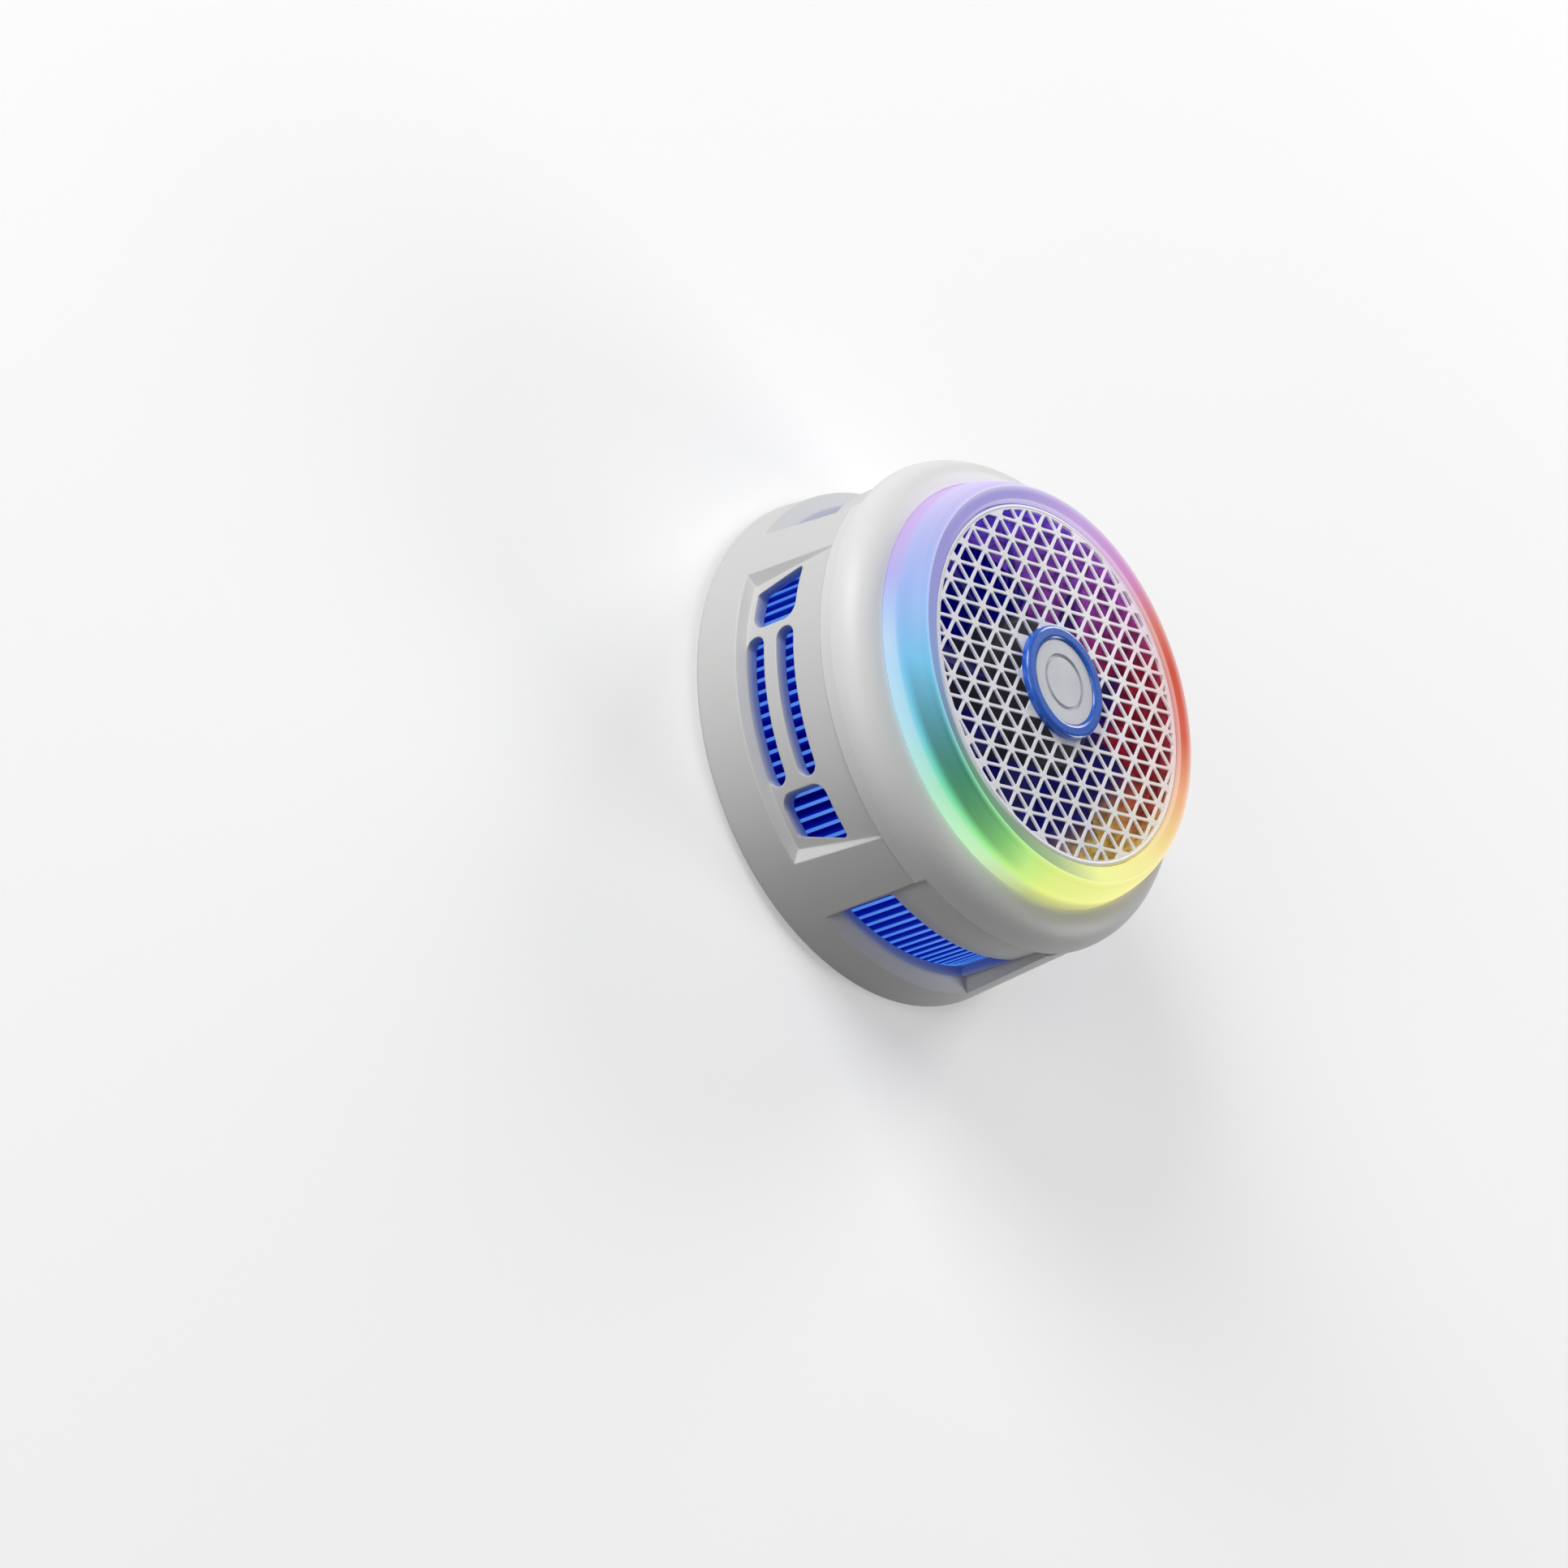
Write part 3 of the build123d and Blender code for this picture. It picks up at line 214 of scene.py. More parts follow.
fired_alumina = grained("fired_alumina", (0.88, 0.88, 0.86), 0.75, relief=0.00003, fineness=1800)[0]
dress(fired_alumina, "peltier_cold_face", "peltier_hot_face")
pellet_alloy = grained(
    "pellet_alloy", (0.3, 0.3, 0.32), 0.45, relief=0.00004, fineness=900, cloud=0.5, metallic=0.8
)[0]
dress(pellet_alloy, "peltier_pellets")
dress(grained("red_silicone", (0.5, 0.03, 0.03), 0.55)[0], "peltier_leads")
black_foam = grained("black_foam", (0.03, 0.03, 0.033), 0.95, relief=0.0002, fineness=1400, cloud=0.6)[0]
dress(black_foam, "insulation_foam")
dress(grained("black_epoxy", (0.02, 0.02, 0.022), 0.15)[0], "temperature_sensor")


# Rear cover, magnets and soft face ring
# The cover is moulded in the same light grey as the housing. It holds nickel-plated magnets and a stamped
# steel ring, and a soft silicone ring with fine grip circles covers its screws.
def fed(shader, name):
    """The output that feeds that socket of a shader."""
    return shader.inputs[name].links[0].from_socket


dress(grained("grey_cover_plastic", (0.62, 0.61, 0.6), 0.5)[0], "rear_cover")
nickel_plate = grained(
    "nickel_plate", (0.68, 0.66, 0.62), 0.2, relief=0.000015, fineness=700, cloud=0.2, metallic=1.0
)[0]
dress(nickel_plate, "magnets", "rotor_magnet")
stamped_steel = grained(
    "stamped_steel", (0.45, 0.46, 0.48), 0.4, relief=0.00003, fineness=1100, cloud=0.3, metallic=1.0
)[0]
dress(stamped_steel, "magnet_yoke", "rotor_cup", "stator_core")

grip_pitch = 0.0008
grip_relief = 0.00006
soft_silicone, tree, shader = grained("soft_silicone", (0.55, 0.55, 0.56), 0.7, fineness=3200, cloud=0.1)
grip_turns = combine(tree, "MULTIPLY", axis_radius(tree)[0], 2 * math.pi / grip_pitch)
grip_circles = {
    "Height": combine(tree, "SINE", grip_turns),
    "Strength": 0.7,
    "Distance": grip_relief,
    "Normal": fed(shader, "Normal"),
}
tree.links.new(put(tree, "ShaderNodeBump", grip_circles).outputs[0], shader.inputs["Normal"])
dress(soft_silicone, "face_pad")


# Heat sink
# Thin aluminium fins stand round a base plate. Blue light from inside fills the gaps between them and
# catches their outer edges, so each edge is a pale line on deep blue.
def pigment(red, green, blue):
    """A display colour, 0 to 255 a channel, as the linear colour that shaders use."""
    channels = (red / 255, green / 255, blue / 255)
    return tuple(c / 12.92 if c < 0.04045 else ((c + 0.055) / 1.055) ** 2.4 for c in channels)


def ramp(tree, factor, stops):
    """A colour ramp over the factor, from a list of (place, colour)."""
    made = put(tree, "ShaderNodeValToRGB", {0: factor})
    elements = made.color_ramp.elements
    while len(elements) < len(stops):
        elements.new(0.5)
    for element, (where, colour) in zip(elements, stops):
        element.position = where
        element.color = (*colour, 1)
    return made.outputs[0]


def shine(tree, shader, light, strength):
    """Lets a surface give off that light."""
    tree.links.new(light, shader.inputs["Emission Color"])
    shader.inputs["Emission Strength"].default_value = strength


fin_edge_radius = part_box("heat_sink")[1].x
fin_glow_depth = 0.004
fins, tree, shader = grained(
    "blue_lit_aluminium", (0.03, 0.05, 0.16), 0.35, fineness=1500, cloud=0.4, metallic=0.6
)
towards_edge = between(tree, axis_radius(tree)[0], fin_edge_radius - fin_glow_depth, fin_edge_radius)
fin_blues = [
    (0.0, pigment(0, 0, 80)),
    (0.6, pigment(0, 6, 115)),
    (0.95, pigment(2, 18, 140)),
    (0.985, pigment(30, 80, 195)),
    (1.0, pigment(78, 134, 228)),
]
shine(tree, shader, ramp(tree, towards_edge, fin_blues), 0.9)
dress(fins, "heat_sink")


# Fan frame, motor and boards
# A black moulded frame carries the motor in a bronze sleeve, with enamelled copper coils on a steel core.
# The boards have green solder mask, black parts and white lamps.
def wheel_of_colours(name, stops):
    """One ramp of colours all the way round the axis, from a list of (degrees, display colour)."""
    group, _, result = effect(name, [], [("Colour", "NodeSocketColor")])
    place = put(group, "ShaderNodeTexCoord").outputs["Object"]
    x, y, _ = put(group, "ShaderNodeSeparateXYZ", {0: place}).outputs
    turn = between(group, combine(group, "ARCTAN2", y, x), -math.pi, math.pi)
    around = [((degrees + 180) / 360, pigment(*colour)) for degrees, colour in stops]
    group.links.new(ramp(group, turn, around), result.inputs[0])
    return group


dark_wheel = wheel_of_colours(
    "colours_behind_the_grille",
    [
        (-180, (6, 10, 120)),
        (-90, (12, 12, 105)),
        (-74, (190, 158, 72)),
        (-50, (200, 162, 84)),
        (-36, (140, 64, 44)),
        (-20, (122, 22, 32)),
        (14, (126, 22, 44)),
        (38, (128, 56, 142)),
        (62, (108, 60, 168)),
        (85, (80, 52, 178)),
        (135, (16, 14, 140)),
        (180, (6, 10, 120)),
    ],
)
deep_navy = (0.001, 0.0015, 0.08)
charcoal = (0.011, 0.011, 0.014)
hub_wall = 0.0008
hub_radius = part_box("rotor_cup")[1].x + hub_wall
hub_edge_width = 0.0008
frame_glow_radii = (0.0165, 0.0212)
blade_glow_radii = (0.0158, 0.0205)


def lamp_glow(tree, glow_radii):
    """Mottled lamp light, deep navy within the first radius and the nearest lamp's colour past the other."""
    radius, place = axis_radius(tree)
    spots = {"Vector": place, "Scale": 700, "Detail": 2, "Roughness": 0.6}
    mottle = put(tree, "ShaderNodeTexNoise", spots).outputs[0]
    patches = between(tree, mottle, 0.35, 0.65, 0.45, 1.3)
    wheel = put(tree, "ShaderNodeGroup", node_tree=dark_wheel).outputs[0]
    light = blend_of(tree, between(tree, radius, *glow_radii, easing="SMOOTHSTEP"), deep_navy, wheel)
    return blend_of(tree, 1.0, light, patches, "MULTIPLY")


def lit_plastic(name, colour, roughness, glow_radii, strength):
    """Dark plastic with a plain charcoal hub, lit by the lamps all round it."""
    material, tree, shader = grained(name, colour, roughness, fineness=2200, cloud=0.1)
    shader.inputs["Specular IOR Level"].default_value = 0.2
    outside_hub = between(tree, axis_radius(tree)[0], hub_radius, hub_radius + hub_edge_width)
    shine(tree, shader, blend_of(tree, outside_hub, charcoal, lamp_glow(tree, glow_radii)), strength)
    return material


dress(lit_plastic("lit_frame_plastic", (0.012, 0.012, 0.02), 0.6, frame_glow_radii, 0.75), "fan_frame")
dress(lit_plastic("lit_blade_plastic", (0.015, 0.015, 0.02), 0.45, blade_glow_radii, 0.85), "fan_impeller")
sintered_bronze = grained(
    "sintered_bronze", (0.5, 0.33, 0.15), 0.4, relief=0.00003, fineness=1500, cloud=0.3, metallic=1.0
)[0]
dress(sintered_bronze, "bearing_sleeve")
ground_steel = grained(
    "ground_steel", (0.7, 0.7, 0.72), 0.12, relief=0.00001, fineness=2400, cloud=0.05, metallic=1.0
)[0]
dress(ground_steel, "rotor_shaft")
dress(grained("acetal", (0.8, 0.78, 0.72), 0.35)[0], "thrust_pad")
enamelled_copper = grained(
    "enamelled_copper", (0.5, 0.17, 0.05), 0.3, relief=0.00006, fineness=500, cloud=0.3, metallic=0.9
)[0]
dress(enamelled_copper, "stator_coils")
solder_mask = grained("solder_mask", (0.015, 0.09, 0.045), 0.3)[0]
dress(solder_mask, "motor_board", "light_board", "control_board")
dress(grained("moulded_black", (0.02, 0.02, 0.022), 0.55)[0], "board_parts", "socket_tongue")
lamp_package, tree, shader = grained("lamp_package", (0.85, 0.85, 0.8), 0.4)
shader.inputs["Emission Color"].default_value = (1, 1, 1, 1)
shader.inputs["Emission Strength"].default_value = 1.0
dress(lamp_package, "leds")

# Power socket
# A drawn steel shell stands in the wall opposite the four-hole window, with gold contacts on both faces of
# its black tongue.
drawn_steel = grained("drawn_steel", (0.62, 0.62, 0.64), 0.25, fineness=1800, cloud=0.15, metallic=1.0)[0]
dress(drawn_steel, "socket_shell")


def settle(piece, name):
    """Names a finished piece, puts its place into its mesh and lets it ride on the cooler's fixed body."""
    bpy.ops.object.select_all(action="DESELECT")
    piece.select_set(True)
    bpy.context.view_layer.objects.active = piece
    bpy.ops.object.transform_apply(location=True, rotation=True, scale=True)
    piece.name = name
    piece.data.name = name
    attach(piece, "cooler")


tongue_low, tongue_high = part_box("socket_tongue")
contact_count = 12
contact_pitch = 0.0005
contact_size = (0.0034, 0.00026, 0.00008)
contact_setback = 0.0019
contact_rounding = 0.00003
contacts = []
bpy.ops.object.select_all(action="DESELECT")
for face_z in (tongue_low.z, tongue_high.z):
    for step in range(contact_count):
        across = (step - (contact_count - 1) / 2) * contact_pitch
        contact_place = (tongue_high.x - contact_setback, across, face_z)
        bpy.ops.mesh.primitive_cube_add(size=1, location=contact_place)
        contact = bpy.context.object
        contact.scale = contact_size
        contacts.append(contact)
for contact in contacts:
    contact.select_set(True)
bpy.context.view_layer.objects.active = contacts[0]
bpy.ops.object.join()
socket_contacts = bpy.context.object
bpy.ops.object.transform_apply(location=True, rotation=True, scale=True)
rounding = socket_contacts.modifiers.new("rounding", "BEVEL")
rounding.width = contact_rounding
rounding.segments = 2
bpy.ops.object.modifier_apply(modifier=rounding.name)
contact_gold = grained(
    "contact_gold", (0.75, 0.5, 0.16), 0.22, relief=0.00001, fineness=3000, cloud=0.2, metallic=1.0
)[0]
socket_contacts.data.materials.append(contact_gold)
settle(socket_contacts, "socket_contacts")

# Light ring
# A milky polycarbonate ring takes the colours of the lamps under it, which run once through the rainbow
# round the fan.
# A painted highlight makes its crest a fine pale line, and painted shade deepens the colour of its inner
# slope down to a pale lip.
# Painted shade also darkens its wall on one side and the foot of its wall on another.
rainbow = wheel_of_colours(
    "colours_of_the_ring",
    [
        (-180, (102, 188, 230)),
        (-164, (96, 196, 216)),
        (-148, (98, 212, 162)),
        (-128, (150, 234, 134)),
        (-106, (226, 240, 130)),
        (-80, (238, 238, 142)),
        (-40, (240, 208, 138)),
        (-15, (234, 128, 92)),
        (6, (228, 88, 62)),
        (30, (224, 144, 205)),
        (70, (214, 192, 238)),
        (120, (204, 194, 242)),
        (158, (146, 174, 236)),
        (180, (102, 188, 230)),
    ],
)
# The inner slope's colours are the lamps' colours deepened by painted shade, darkest on the near side.
inner_rainbow_with_painted_shade = wheel_of_colours(
    "lamp_colours_and_painted_shade_of_the_inner_slope",
    [
        (-180, (112, 140, 190)),
        (-162, (84, 116, 134)),
        (-146, (60, 124, 88)),
        (-126, (84, 128, 86)),
        (-108, (136, 166, 98)),
        (-88, (222, 228, 122)),
        (-62, (232, 220, 130)),
        (-30, (228, 160, 112)),
        (-12, (206, 84, 56)),
        (10, (202, 68, 42)),
        (24, (208, 112, 98)),
        (42, (204, 138, 194)),
        (66, (190, 158, 216)),
        (95, (156, 146, 208)),
        (150, (142, 138, 202)),
        (180, (112, 140, 190)),
    ],
)


def levels(tree, factor, stops):
    """A grey ramp over the factor, from a list of (place, level)."""
    return ramp(tree, factor, [(where, (level,) * 3) for where, level in stops])


def towards(tree, side, reach, least=0.0, most=1.0):
    """A mask that rises from least to most over a reach from the axis, in metres, to one side in degrees."""
    place = put(tree, "ShaderNodeTexCoord").outputs["Object"]
    outwards = (math.cos(math.radians(side)), math.sin(math.radians(side)), 0)
    distance = put(tree, "ShaderNodeVectorMath", {0: place, 1: outwards}, operation="DOT_PRODUCT")
    return between(tree, distance.outputs["Value"], *reach, least, most)


def zone(tree, along, stops, *side_and_reach):
    """A mask for one stretch of the ring's section on one side of the ring."""
    return combine(tree, "MULTIPLY", levels(tree, along, stops), towards(tree, *side_and_reach))


ring_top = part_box("light_ring")[1].z
crest_radius = 0.0244
slope_width = 0.002
wall_height = 0.0053
bore_edge = 0.0003
bore_glow_radii = (0.01, 0.019)
painted_shade_side = 211
painted_shade_reach = (0.0214, 0.0254)
foot_shade_side = 264
violet_side = 126
foot_reach = (0.021, 0.0257)
near_side = 203
near_reach = (0.0165, 0.0225)
lip_reach = (0.0, 0.0235)
far_side = 35
far_reach = (-0.006, 0.01)

# The place along the ring's section is 0 at the wall's foot, 0.5 at the crest and 1 at the slope's end.
lit_ring_plastic, tree, shader = grained(
    "lit_ring_plastic", (0.04, 0.04, 0.04), 0.45, relief=0.00001, fineness=2800, cloud=0.05
)
shader.inputs["Specular IOR Level"].default_value = 0.3
radius, place = axis_radius(tree)
height = put(tree, "ShaderNodeSeparateXYZ", {0: place}).outputs[2]
up_wall = between(tree, height, ring_top - wall_height, ring_top, 0.0, 0.5)
down_slope = between(tree, radius, crest_radius, crest_radius - slope_width, 0.0, 0.5)
along = combine(tree, "ADD", up_wall, down_slope)

# Painted shade darkens the wall and brow almost to black on one side of the ring.
painted_shade_stops = [(0.2, 0.0), (0.28, 0.75), (0.42, 0.85), (0.455, 1.0), (0.485, 0.4), (0.5, 0.1)]
painted_wall_shade = zone(tree, along, painted_shade_stops, painted_shade_side, painted_shade_reach, 0.05, 0.84)
wall_light = put(tree, "ShaderNodeGroup", node_tree=rainbow).outputs[0]
wall_light = blend_of(tree, painted_wall_shade, wall_light, (0.0, 0.008, 0.008))
# Painted shade darkens the foot of the wall to a dull olive on another side of the ring.
painted_foot_shade = zone(tree, along, [(0.0, 0.7), (0.1, 0.45), (0.19, 0.0)], foot_shade_side, foot_reach)
wall_light = blend_of(tree, painted_foot_shade, wall_light, (0.3, 0.3, 0.18))
violet_foot = zone(tree, along, [(0.0, 0.75), (0.15, 0.6), (0.24, 0.0)], violet_side, foot_reach)
wall_light = blend_of(tree, violet_foot, wall_light, pigment(198, 160, 224))
slope_light = put(tree, "ShaderNodeGroup", node_tree=inner_rainbow_with_painted_shade).outputs[0]
past_crest = levels(tree, along, [(0.5, 0.0), (0.52, 1.0)])
ring_light = blend_of(tree, past_crest, wall_light, slope_light)

near_stops = [(0.0, 0.34), (0.05, 0.34), (0.15, 0.26), (0.19, 0.04), (0.24, 0.0)]
near_pale = zone(tree, along, near_stops, near_side, near_reach)
far_stops = [
    (0.5, 0.0),
    (0.51, 0.42),
    (0.57, 0.26),
    (0.63, 0.08),
    (0.69, 0.0),
    (0.83, 0.0),
    (0.88, 0.33),
    (0.93, 0.2),
    (1.0, 0.3),
]
far_pale = zone(tree, along, far_stops, far_side, far_reach)
# A painted highlight runs along the crest as a fine pale line.
painted_crest_highlight = levels(tree, along, [(0.47, 0.0), (0.495, 0.18), (0.515, 0.0)])
pale = combine(tree, "ADD", combine(tree, "ADD", near_pale, far_pale), painted_crest_highlight)
ring_light = blend_of(tree, pale, ring_light, (1, 1, 1))
lip_place = combine(tree, "ADD", along, towards(tree, near_side, lip_reach, -0.875, 0.0))
lip = between(tree, lip_place, 0.74, 0.91, 0.0, 0.7)
ring_light = blend_of(tree, lip, ring_light, (0.6, 0.63, 0.64))

# Inside the bore, below the grille, painted shade takes the place of the ring's light, lit only by the same
# painted lamp light as the fan.
within_bore = between(tree, radius, crest_radius + 2 * bore_edge, crest_radius + bore_edge)
below_grille = between(tree, height, ring_top - 2 * bore_edge, ring_top - 4 * bore_edge)
bore = combine(tree, "MULTIPLY", within_bore, below_grille)
ring_light = blend_of(tree, bore, ring_light, lamp_glow(tree, bore_glow_radii))
shine(tree, shader, ring_light, 1.0)
dress(lit_ring_plastic, "light_ring")

# Main housing and front shell
# Both shells are moulded in warm light grey with a fine satin pebble, and a painted highlight makes them
# paler along their edges. Painted blue light from the fins tints the sills of the side windows, and the
# ring's light is painted on the front shell's mouth.
edge_softness = 0.00028
edge_highlight_colour = (0.92, 0.92, 0.92)


def satin_shell(name, colour):
    """Satin moulded plastic whose bent edges are soft, with a painted highlight that makes them a little
    paler.
    """
    material, tree, shader = grained(name, colour, 0.42, relief=0.000015, fineness=3600, cloud=0.05)
    soft_edge = put(tree, "ShaderNodeBevel", {"Radius": edge_softness}, samples=4).outputs[0]
    tree.links.new(soft_edge, fed(shader, "Normal").node.inputs["Normal"])
    facing = put(tree, "ShaderNodeNewGeometry").outputs["Normal"]
    bend = put(tree, "ShaderNodeVectorMath", {0: soft_edge, 1: facing}, operation="DOT_PRODUCT")
    # A painted highlight lightens the base colour wherever the softened normal bends away from the face.
    edge = between(tree, bend.outputs["Value"], 0.99, 0.86, 0.0, 0.6)
    tree.links.new(blend_of(tree, edge, fed(shader, "Base Color"), edge_highlight_colour), shader.inputs["Base Color"])
    shader.inputs["Specular IOR Level"].default_value = 0.45
    return material, tree, shader


window_radii = (0.0302, 0.0288)
sill_heights = (0.0055, 0.0068)
lintel_heights = (0.0165, 0.0145)
faint_sill_light_side = 108
faint_sill_light_reach = (0.022, 0.027)
painted_sill_light_blue = (0.12, 0.19, 0.5)
painted_sill_glow = (0.003, 0.008, 0.045)
housing_plastic, tree, shader = satin_shell("satin_housing_plastic", (0.665, 0.665, 0.66))
radius, place = axis_radius(tree)
height = put(tree, "ShaderNodeSeparateXYZ", {0: place}).outputs[2]
# Painted blue light from the fins falls on the sills of the side windows, in their base colour and as a
# faint glow, much weaker on one side.
inside = between(tree, radius, *window_radii, easing="SMOOTHSTEP")
above_sill = between(tree, height, *sill_heights, easing="SMOOTHSTEP")
below_lintel = between(tree, height, *lintel_heights, easing="SMOOTHSTEP")
band = combine(tree, "MULTIPLY", above_sill, below_lintel)
painted_sill_light_share = combine(tree, "MULTIPLY", inside, band)
painted_sill_light_share = combine(tree, "MULTIPLY", painted_sill_light_share, towards(tree, faint_sill_light_side, faint_sill_light_reach, 1.0, 0.15))
blue_lit_sill_colour = blend_of(tree, combine(tree, "MULTIPLY", painted_sill_light_share, 0.8), fed(shader, "Base Color"), painted_sill_light_blue)
tree.links.new(blue_lit_sill_colour, shader.inputs["Base Color"])
shine(tree, shader, blend_of(tree, painted_sill_light_share, (0, 0, 0), painted_sill_glow), 1.0)
dress(housing_plastic, "main_housing")

mouth_radius = 0.0264
mouth_glow_width = 0.0009
front_plastic, tree, shader = satin_shell("satin_front_plastic", (0.77, 0.77, 0.765))
# The ring's light is painted on the front shell as a faint glow in the lamps' colours, fading out from the
# mouth.
near_mouth = between(tree, axis_radius(tree)[0], mouth_radius + mouth_glow_width, mouth_radius)
falloff = combine(tree, "POWER", near_mouth, 2.2)
lamp_colours = put(tree, "ShaderNodeGroup", node_tree=rainbow).outputs[0]
shine(tree, shader, blend_of(tree, 1.0, lamp_colours, falloff, "MULTIPLY"), 0.16)
dress(front_plastic, "front_shell")

# Grille
# A thin white plate is pierced by rows of triangular holes, with a small round boss where its bars cross
# and a rounded rim.
grille_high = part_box("grille")[1]
grille_top = grille_high.z
grille_radius = grille_high.x
badge_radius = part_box("badge_bezel")[1].x
plate_thickness = 0.00026
row_pitch = 0.00246
bar_pitch = 0.00366
bar_width = 0.00034
row_turn = math.radians(-4.0)
smallest_opening = 0.00026
boss_radius = 0.00058
boss_proud = 0.00002
boss_sides = 10
rim_width = 0.0007
rim_proud = 0.00006
rim_sides = 144
rim_section_sides = 12
lattice_radius = grille_radius - rim_width + bar_width / 2
bpy.ops.object.select_all(action="DESELECT")
bpy.ops.mesh.primitive_circle_add(
    vertices=rim_sides, radius=lattice_radius, fill_type="NGON", location=(0, 0, grille_top)
)
plate = bpy.context.object
bpy.ops.object.mode_set(mode="EDIT")
slant = math.hypot(bar_pitch / 2, row_pitch)
cut_lines = (
    (Vector((0, 1, 0)), row_pitch),
    (Vector((row_pitch, -bar_pitch / 2, 0)) / slant, bar_pitch * row_pitch / slant),
    (Vector((row_pitch, bar_pitch / 2, 0)) / slant, bar_pitch * row_pitch / slant),
)
for across, spacing in cut_lines:
    across = Matrix.Rotation(row_turn, 3, "Z") @ across
    reach = int(lattice_radius / spacing)
    for step in range(-reach, reach + 1):
        cut_place = across * spacing * step + Vector((0, 0, grille_top))
        bpy.ops.mesh.select_all(action="SELECT")
        bpy.ops.mesh.bisect(plane_co=cut_place, plane_no=across)
bpy.ops.mesh.select_mode(type="FACE")
bpy.ops.mesh.select_all(action="DESELECT")
bpy.ops.object.mode_set(mode="OBJECT")
for face in plate.data.polygons:
    corners = [plate.data.vertices[v].co for v in face.vertices]
    around = sum((corners[i] - corners[i - 1]).length for i in range(len(corners)))
    opens = 2 * face.area / around > bar_width / 2 + smallest_opening
    face.select = opens and face.center.xy.length > badge_radius
bpy.ops.object.mode_set(mode="EDIT")
bpy.ops.mesh.inset(thickness=bar_width / 2, use_individual=True, use_boundary=True)
bpy.ops.mesh.delete(type="FACE")
bpy.ops.object.mode_set(mode="OBJECT")
thickness = plate.modifiers.new("thickness", "SOLIDIFY")
thickness.thickness = plate_thickness
thickness.offset = -1
bpy.ops.object.modifier_apply(modifier=thickness.name)

crossings = []
rows = int(lattice_radius / row_pitch) + 1
for row in range(-rows, rows + 1):
    for column in range(-2 * rows, 2 * rows + 1):
        point = Vector(((column + (row % 2) / 2) * bar_pitch, row * row_pitch, 0))
        if badge_radius < point.length < lattice_radius - bar_width:
            crossings.append(Matrix.Rotation(row_turn, 3, "Z") @ point)
bpy.ops.object.select_all(action="DESELECT")
bpy.ops.mesh.primitive_cylinder_add(
    vertices=boss_sides,
    radius=boss_radius,
    depth=plate_thickness,
    location=(0, 0, grille_top - plate_thickness / 2 + boss_proud),
)
boss = bpy.context.object
bosses = []
for point in crossings:
    copy = boss.copy()
    copy.data = boss.data.copy()
    copy.location = boss.location + point
    bpy.context.scene.collection.objects.link(copy)
    bosses.append(copy)
bpy.data.objects.remove(boss)
bpy.ops.mesh.primitive_torus_add(
    major_segments=rim_sides,
    minor_segments=rim_section_sides,
    major_radius=grille_radius - rim_width / 2,
    minor_radius=rim_width / 2,
    location=(0, 0, grille_top - rim_width / 2 + rim_proud),
)
rim = bpy.context.object
bpy.ops.object.select_all(action="DESELECT")
for piece in (*bosses, rim, plate):
    piece.select_set(True)
bpy.context.view_layer.objects.active = plate
bpy.ops.object.join()

painted_ring_light_radii = (0.012, 0.021)
painted_ring_light_side = 0
painted_ring_light_reach = (0.0, 0.014)
bar_light_side = 12
bar_light_reach = (-0.002, 0.015)
bar_glow_radii = (0.0145, 0.021)
grille_plastic, tree, shader = grained(
    "satin_grille_plastic", (0.9, 0.9, 0.91), 0.4, relief=0.00001, fineness=3600, cloud=0.05
)
# The ring's light is painted into the grille's base colour near the ring, on one side only.
near_ring = between(tree, axis_radius(tree)[0], *painted_ring_light_radii, 0.0, 0.3)
painted_ring_light_share = combine(tree, "MULTIPLY", near_ring, towards(tree, painted_ring_light_side, painted_ring_light_reach))
ring_colours = put(tree, "ShaderNodeGroup", node_tree=rainbow).outputs[0]
ring_lit_grille_colour = blend_of(tree, painted_ring_light_share, fed(shader, "Base Color"), ring_colours)
tree.links.new(ring_lit_grille_colour, shader.inputs["Base Color"])
bar_share = towards(tree, bar_light_side, bar_light_reach, 0.0, 0.85)
bar_light = blend_of(tree, bar_share, lamp_glow(tree, bar_glow_radii), (1.0, 0.9, 0.98))
shine(tree, shader, bar_light, 0.18)
plate.data.materials.append(grille_plastic)
settle(plate, "grille_plate")
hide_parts("grille")

# Badge
# A plain round badge is pressed on the grille's middle: a gloss blue frame round a silver disc that was
# turned on a lathe, with one groove.
blue_gloss, tree, shader = grained(
    "blue_gloss_paint", pigment(46, 102, 208), 0.25, relief=0.00001, fineness=1500, cloud=0.12
)
shader.inputs["Coat Weight"].default_value = 0.6
dress(blue_gloss, "badge_bezel")
turned_silver = turned_metal("turned_silver", (0.66, 0.68, 0.72), 0.45, relief=0.00002, metallic=0.4)
dress(turned_silver, "badge_face")

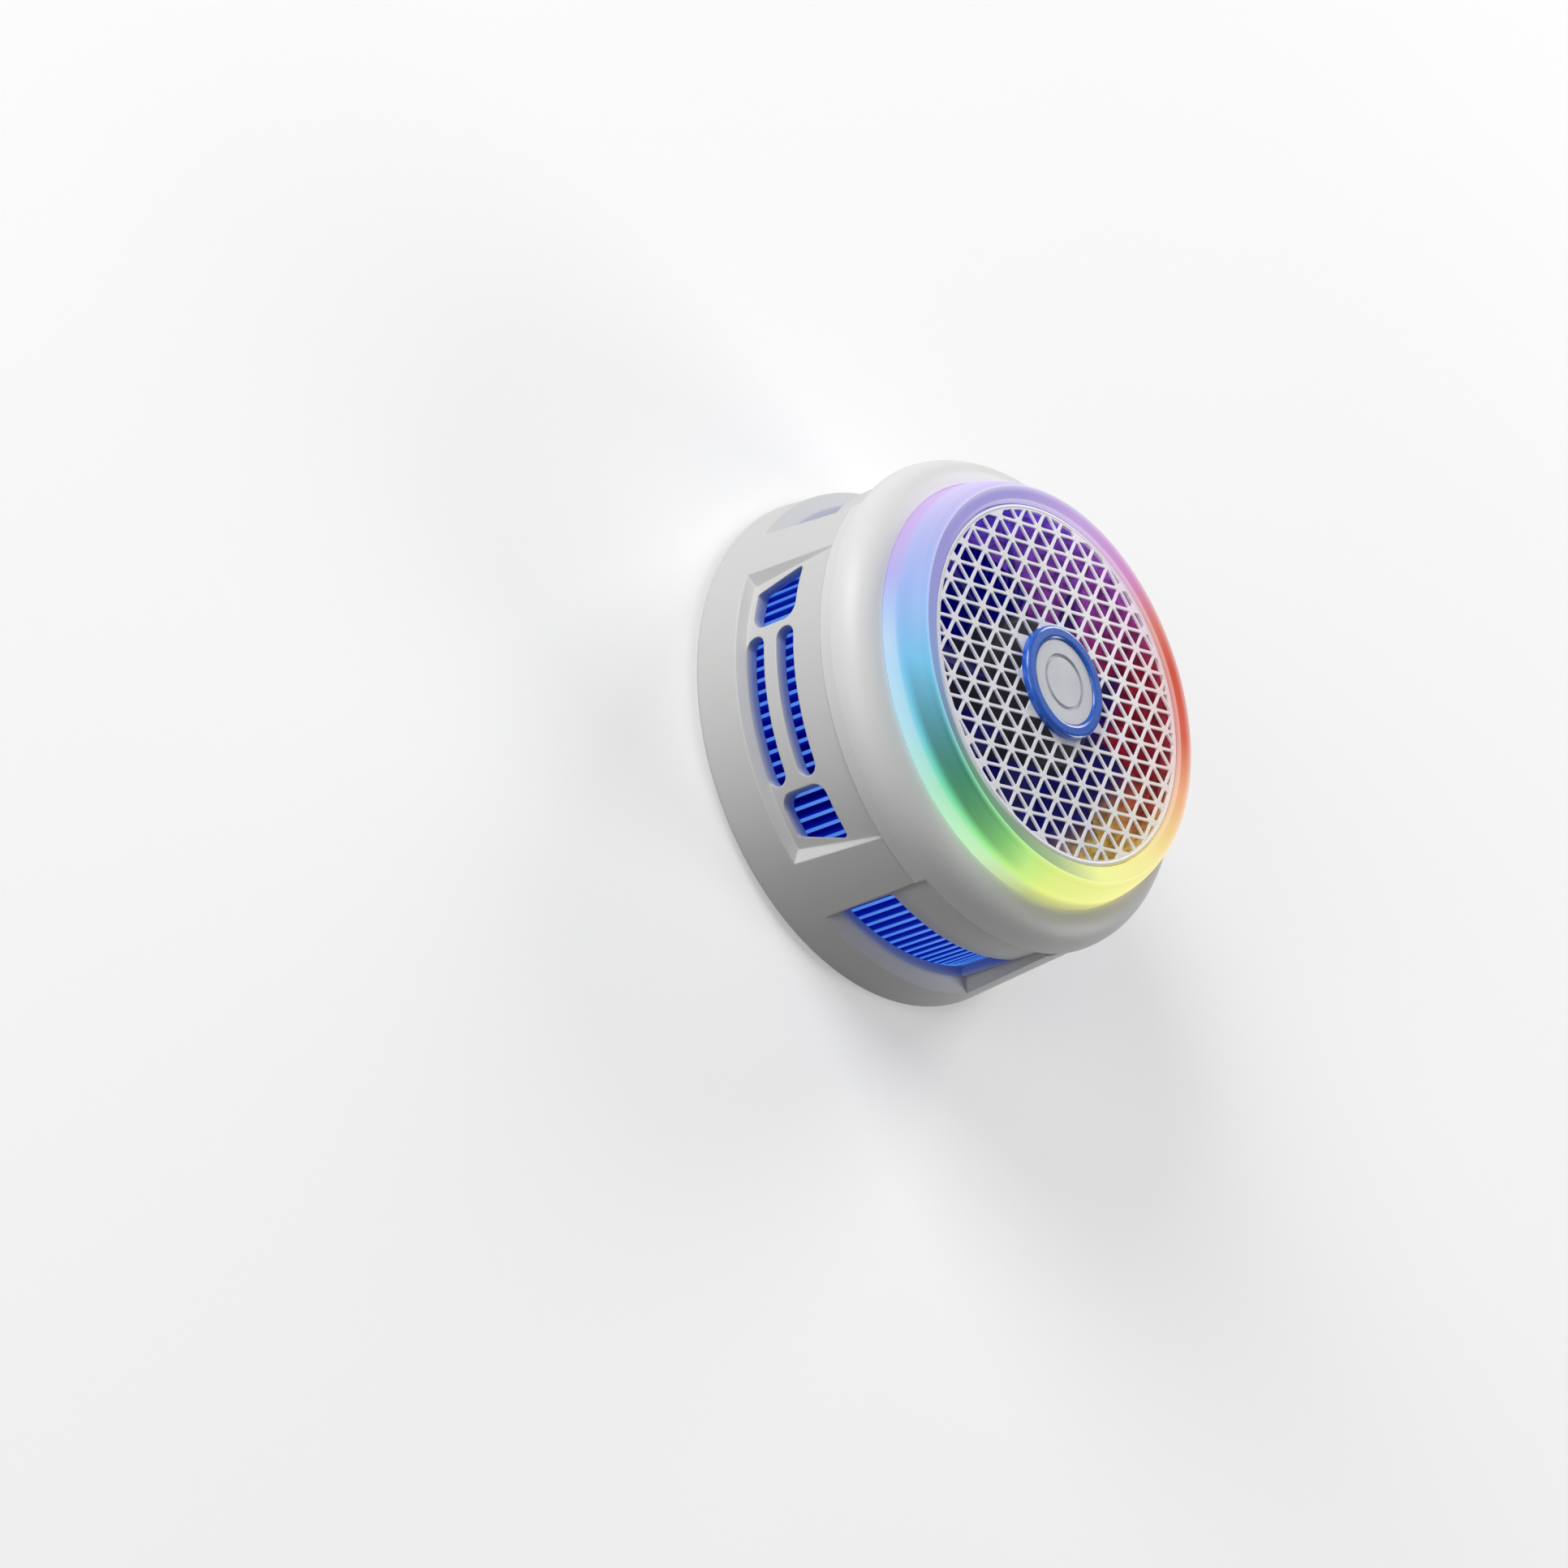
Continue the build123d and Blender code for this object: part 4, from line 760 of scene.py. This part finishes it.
# Floor and studio light
# The cooler lies on its cold face on a wide floor, which looks paler than the light that it throws back.
# Five soft square lamps stand round the cooler, the strongest to the upper left of the picture.
floor_side = 6
floor_drop = 0.00002
unseen_tone = (0.35, 0.35, 0.35)
floor_lift = 0.34
room_light = 0.07
bpy.ops.object.select_all(action="DESELECT")
bpy.ops.mesh.primitive_plane_add(size=floor_side, location=(0, 0, -floor_drop))
floor = bpy.context.object
floor.name = "floor"
floor_paint, tree, shader = finish("pale_floor", (0.8, 0.8, 0.8), 0.9)
place = put(tree, "ShaderNodeTexCoord").outputs["Object"]
cloud = put(tree, "ShaderNodeTexNoise", {"Vector": place, "Scale": 6}).outputs[0]
tone = between(tree, cloud, 0, 1, 0.78, 0.82)
path = put(tree, "ShaderNodeLightPath").outputs
seen = combine(tree, "ADD", path["Is Camera Ray"], path["Is Glossy Ray"])
seen = combine(tree, "ADD", seen, path["Is Transmission Ray"], clamp=True)
tree.links.new(blend_of(tree, seen, unseen_tone, tone), shader.inputs["Base Color"])
tree.links.new(combine(tree, "MULTIPLY", seen, floor_lift), shader.inputs["Emission Strength"])
shader.inputs["Emission Color"].default_value = (1, 1, 1, 1)
floor.data.materials.append(floor_paint)

room = bpy.data.worlds.new("room")
bpy.context.scene.world = room
room.use_nodes = True
room.node_tree.nodes["Background"].inputs["Color"].default_value = (1, 1, 1, 1)
room.node_tree.nodes["Background"].inputs["Strength"].default_value = room_light

for name, lamp_place, side, power in (
    ("window_lamp", (-0.56, 0.67, 0.37), 0.45, 6.0),
    ("left_lamp", (-0.89, 0.08, 0.32), 0.4, 1.9),
    ("front_lamp", (-0.11, 0.31, 0.89), 0.6, 0.8),
    ("right_lamp", (0.76, -0.44, 0.36), 0.4, 2.6),
    ("far_lamp", (0.71, 0.49, 0.40), 0.4, 3.0),
):
    lamp = bpy.data.objects.new(name, bpy.data.lights.new(name, "AREA"))
    bpy.context.scene.collection.objects.link(lamp)
    lamp.data.size = side
    lamp.data.energy = power
    lamp.location = lamp_place
    lamp.rotation_euler = Vector(lamp_place).to_track_quat("Z", "Y").to_euler()
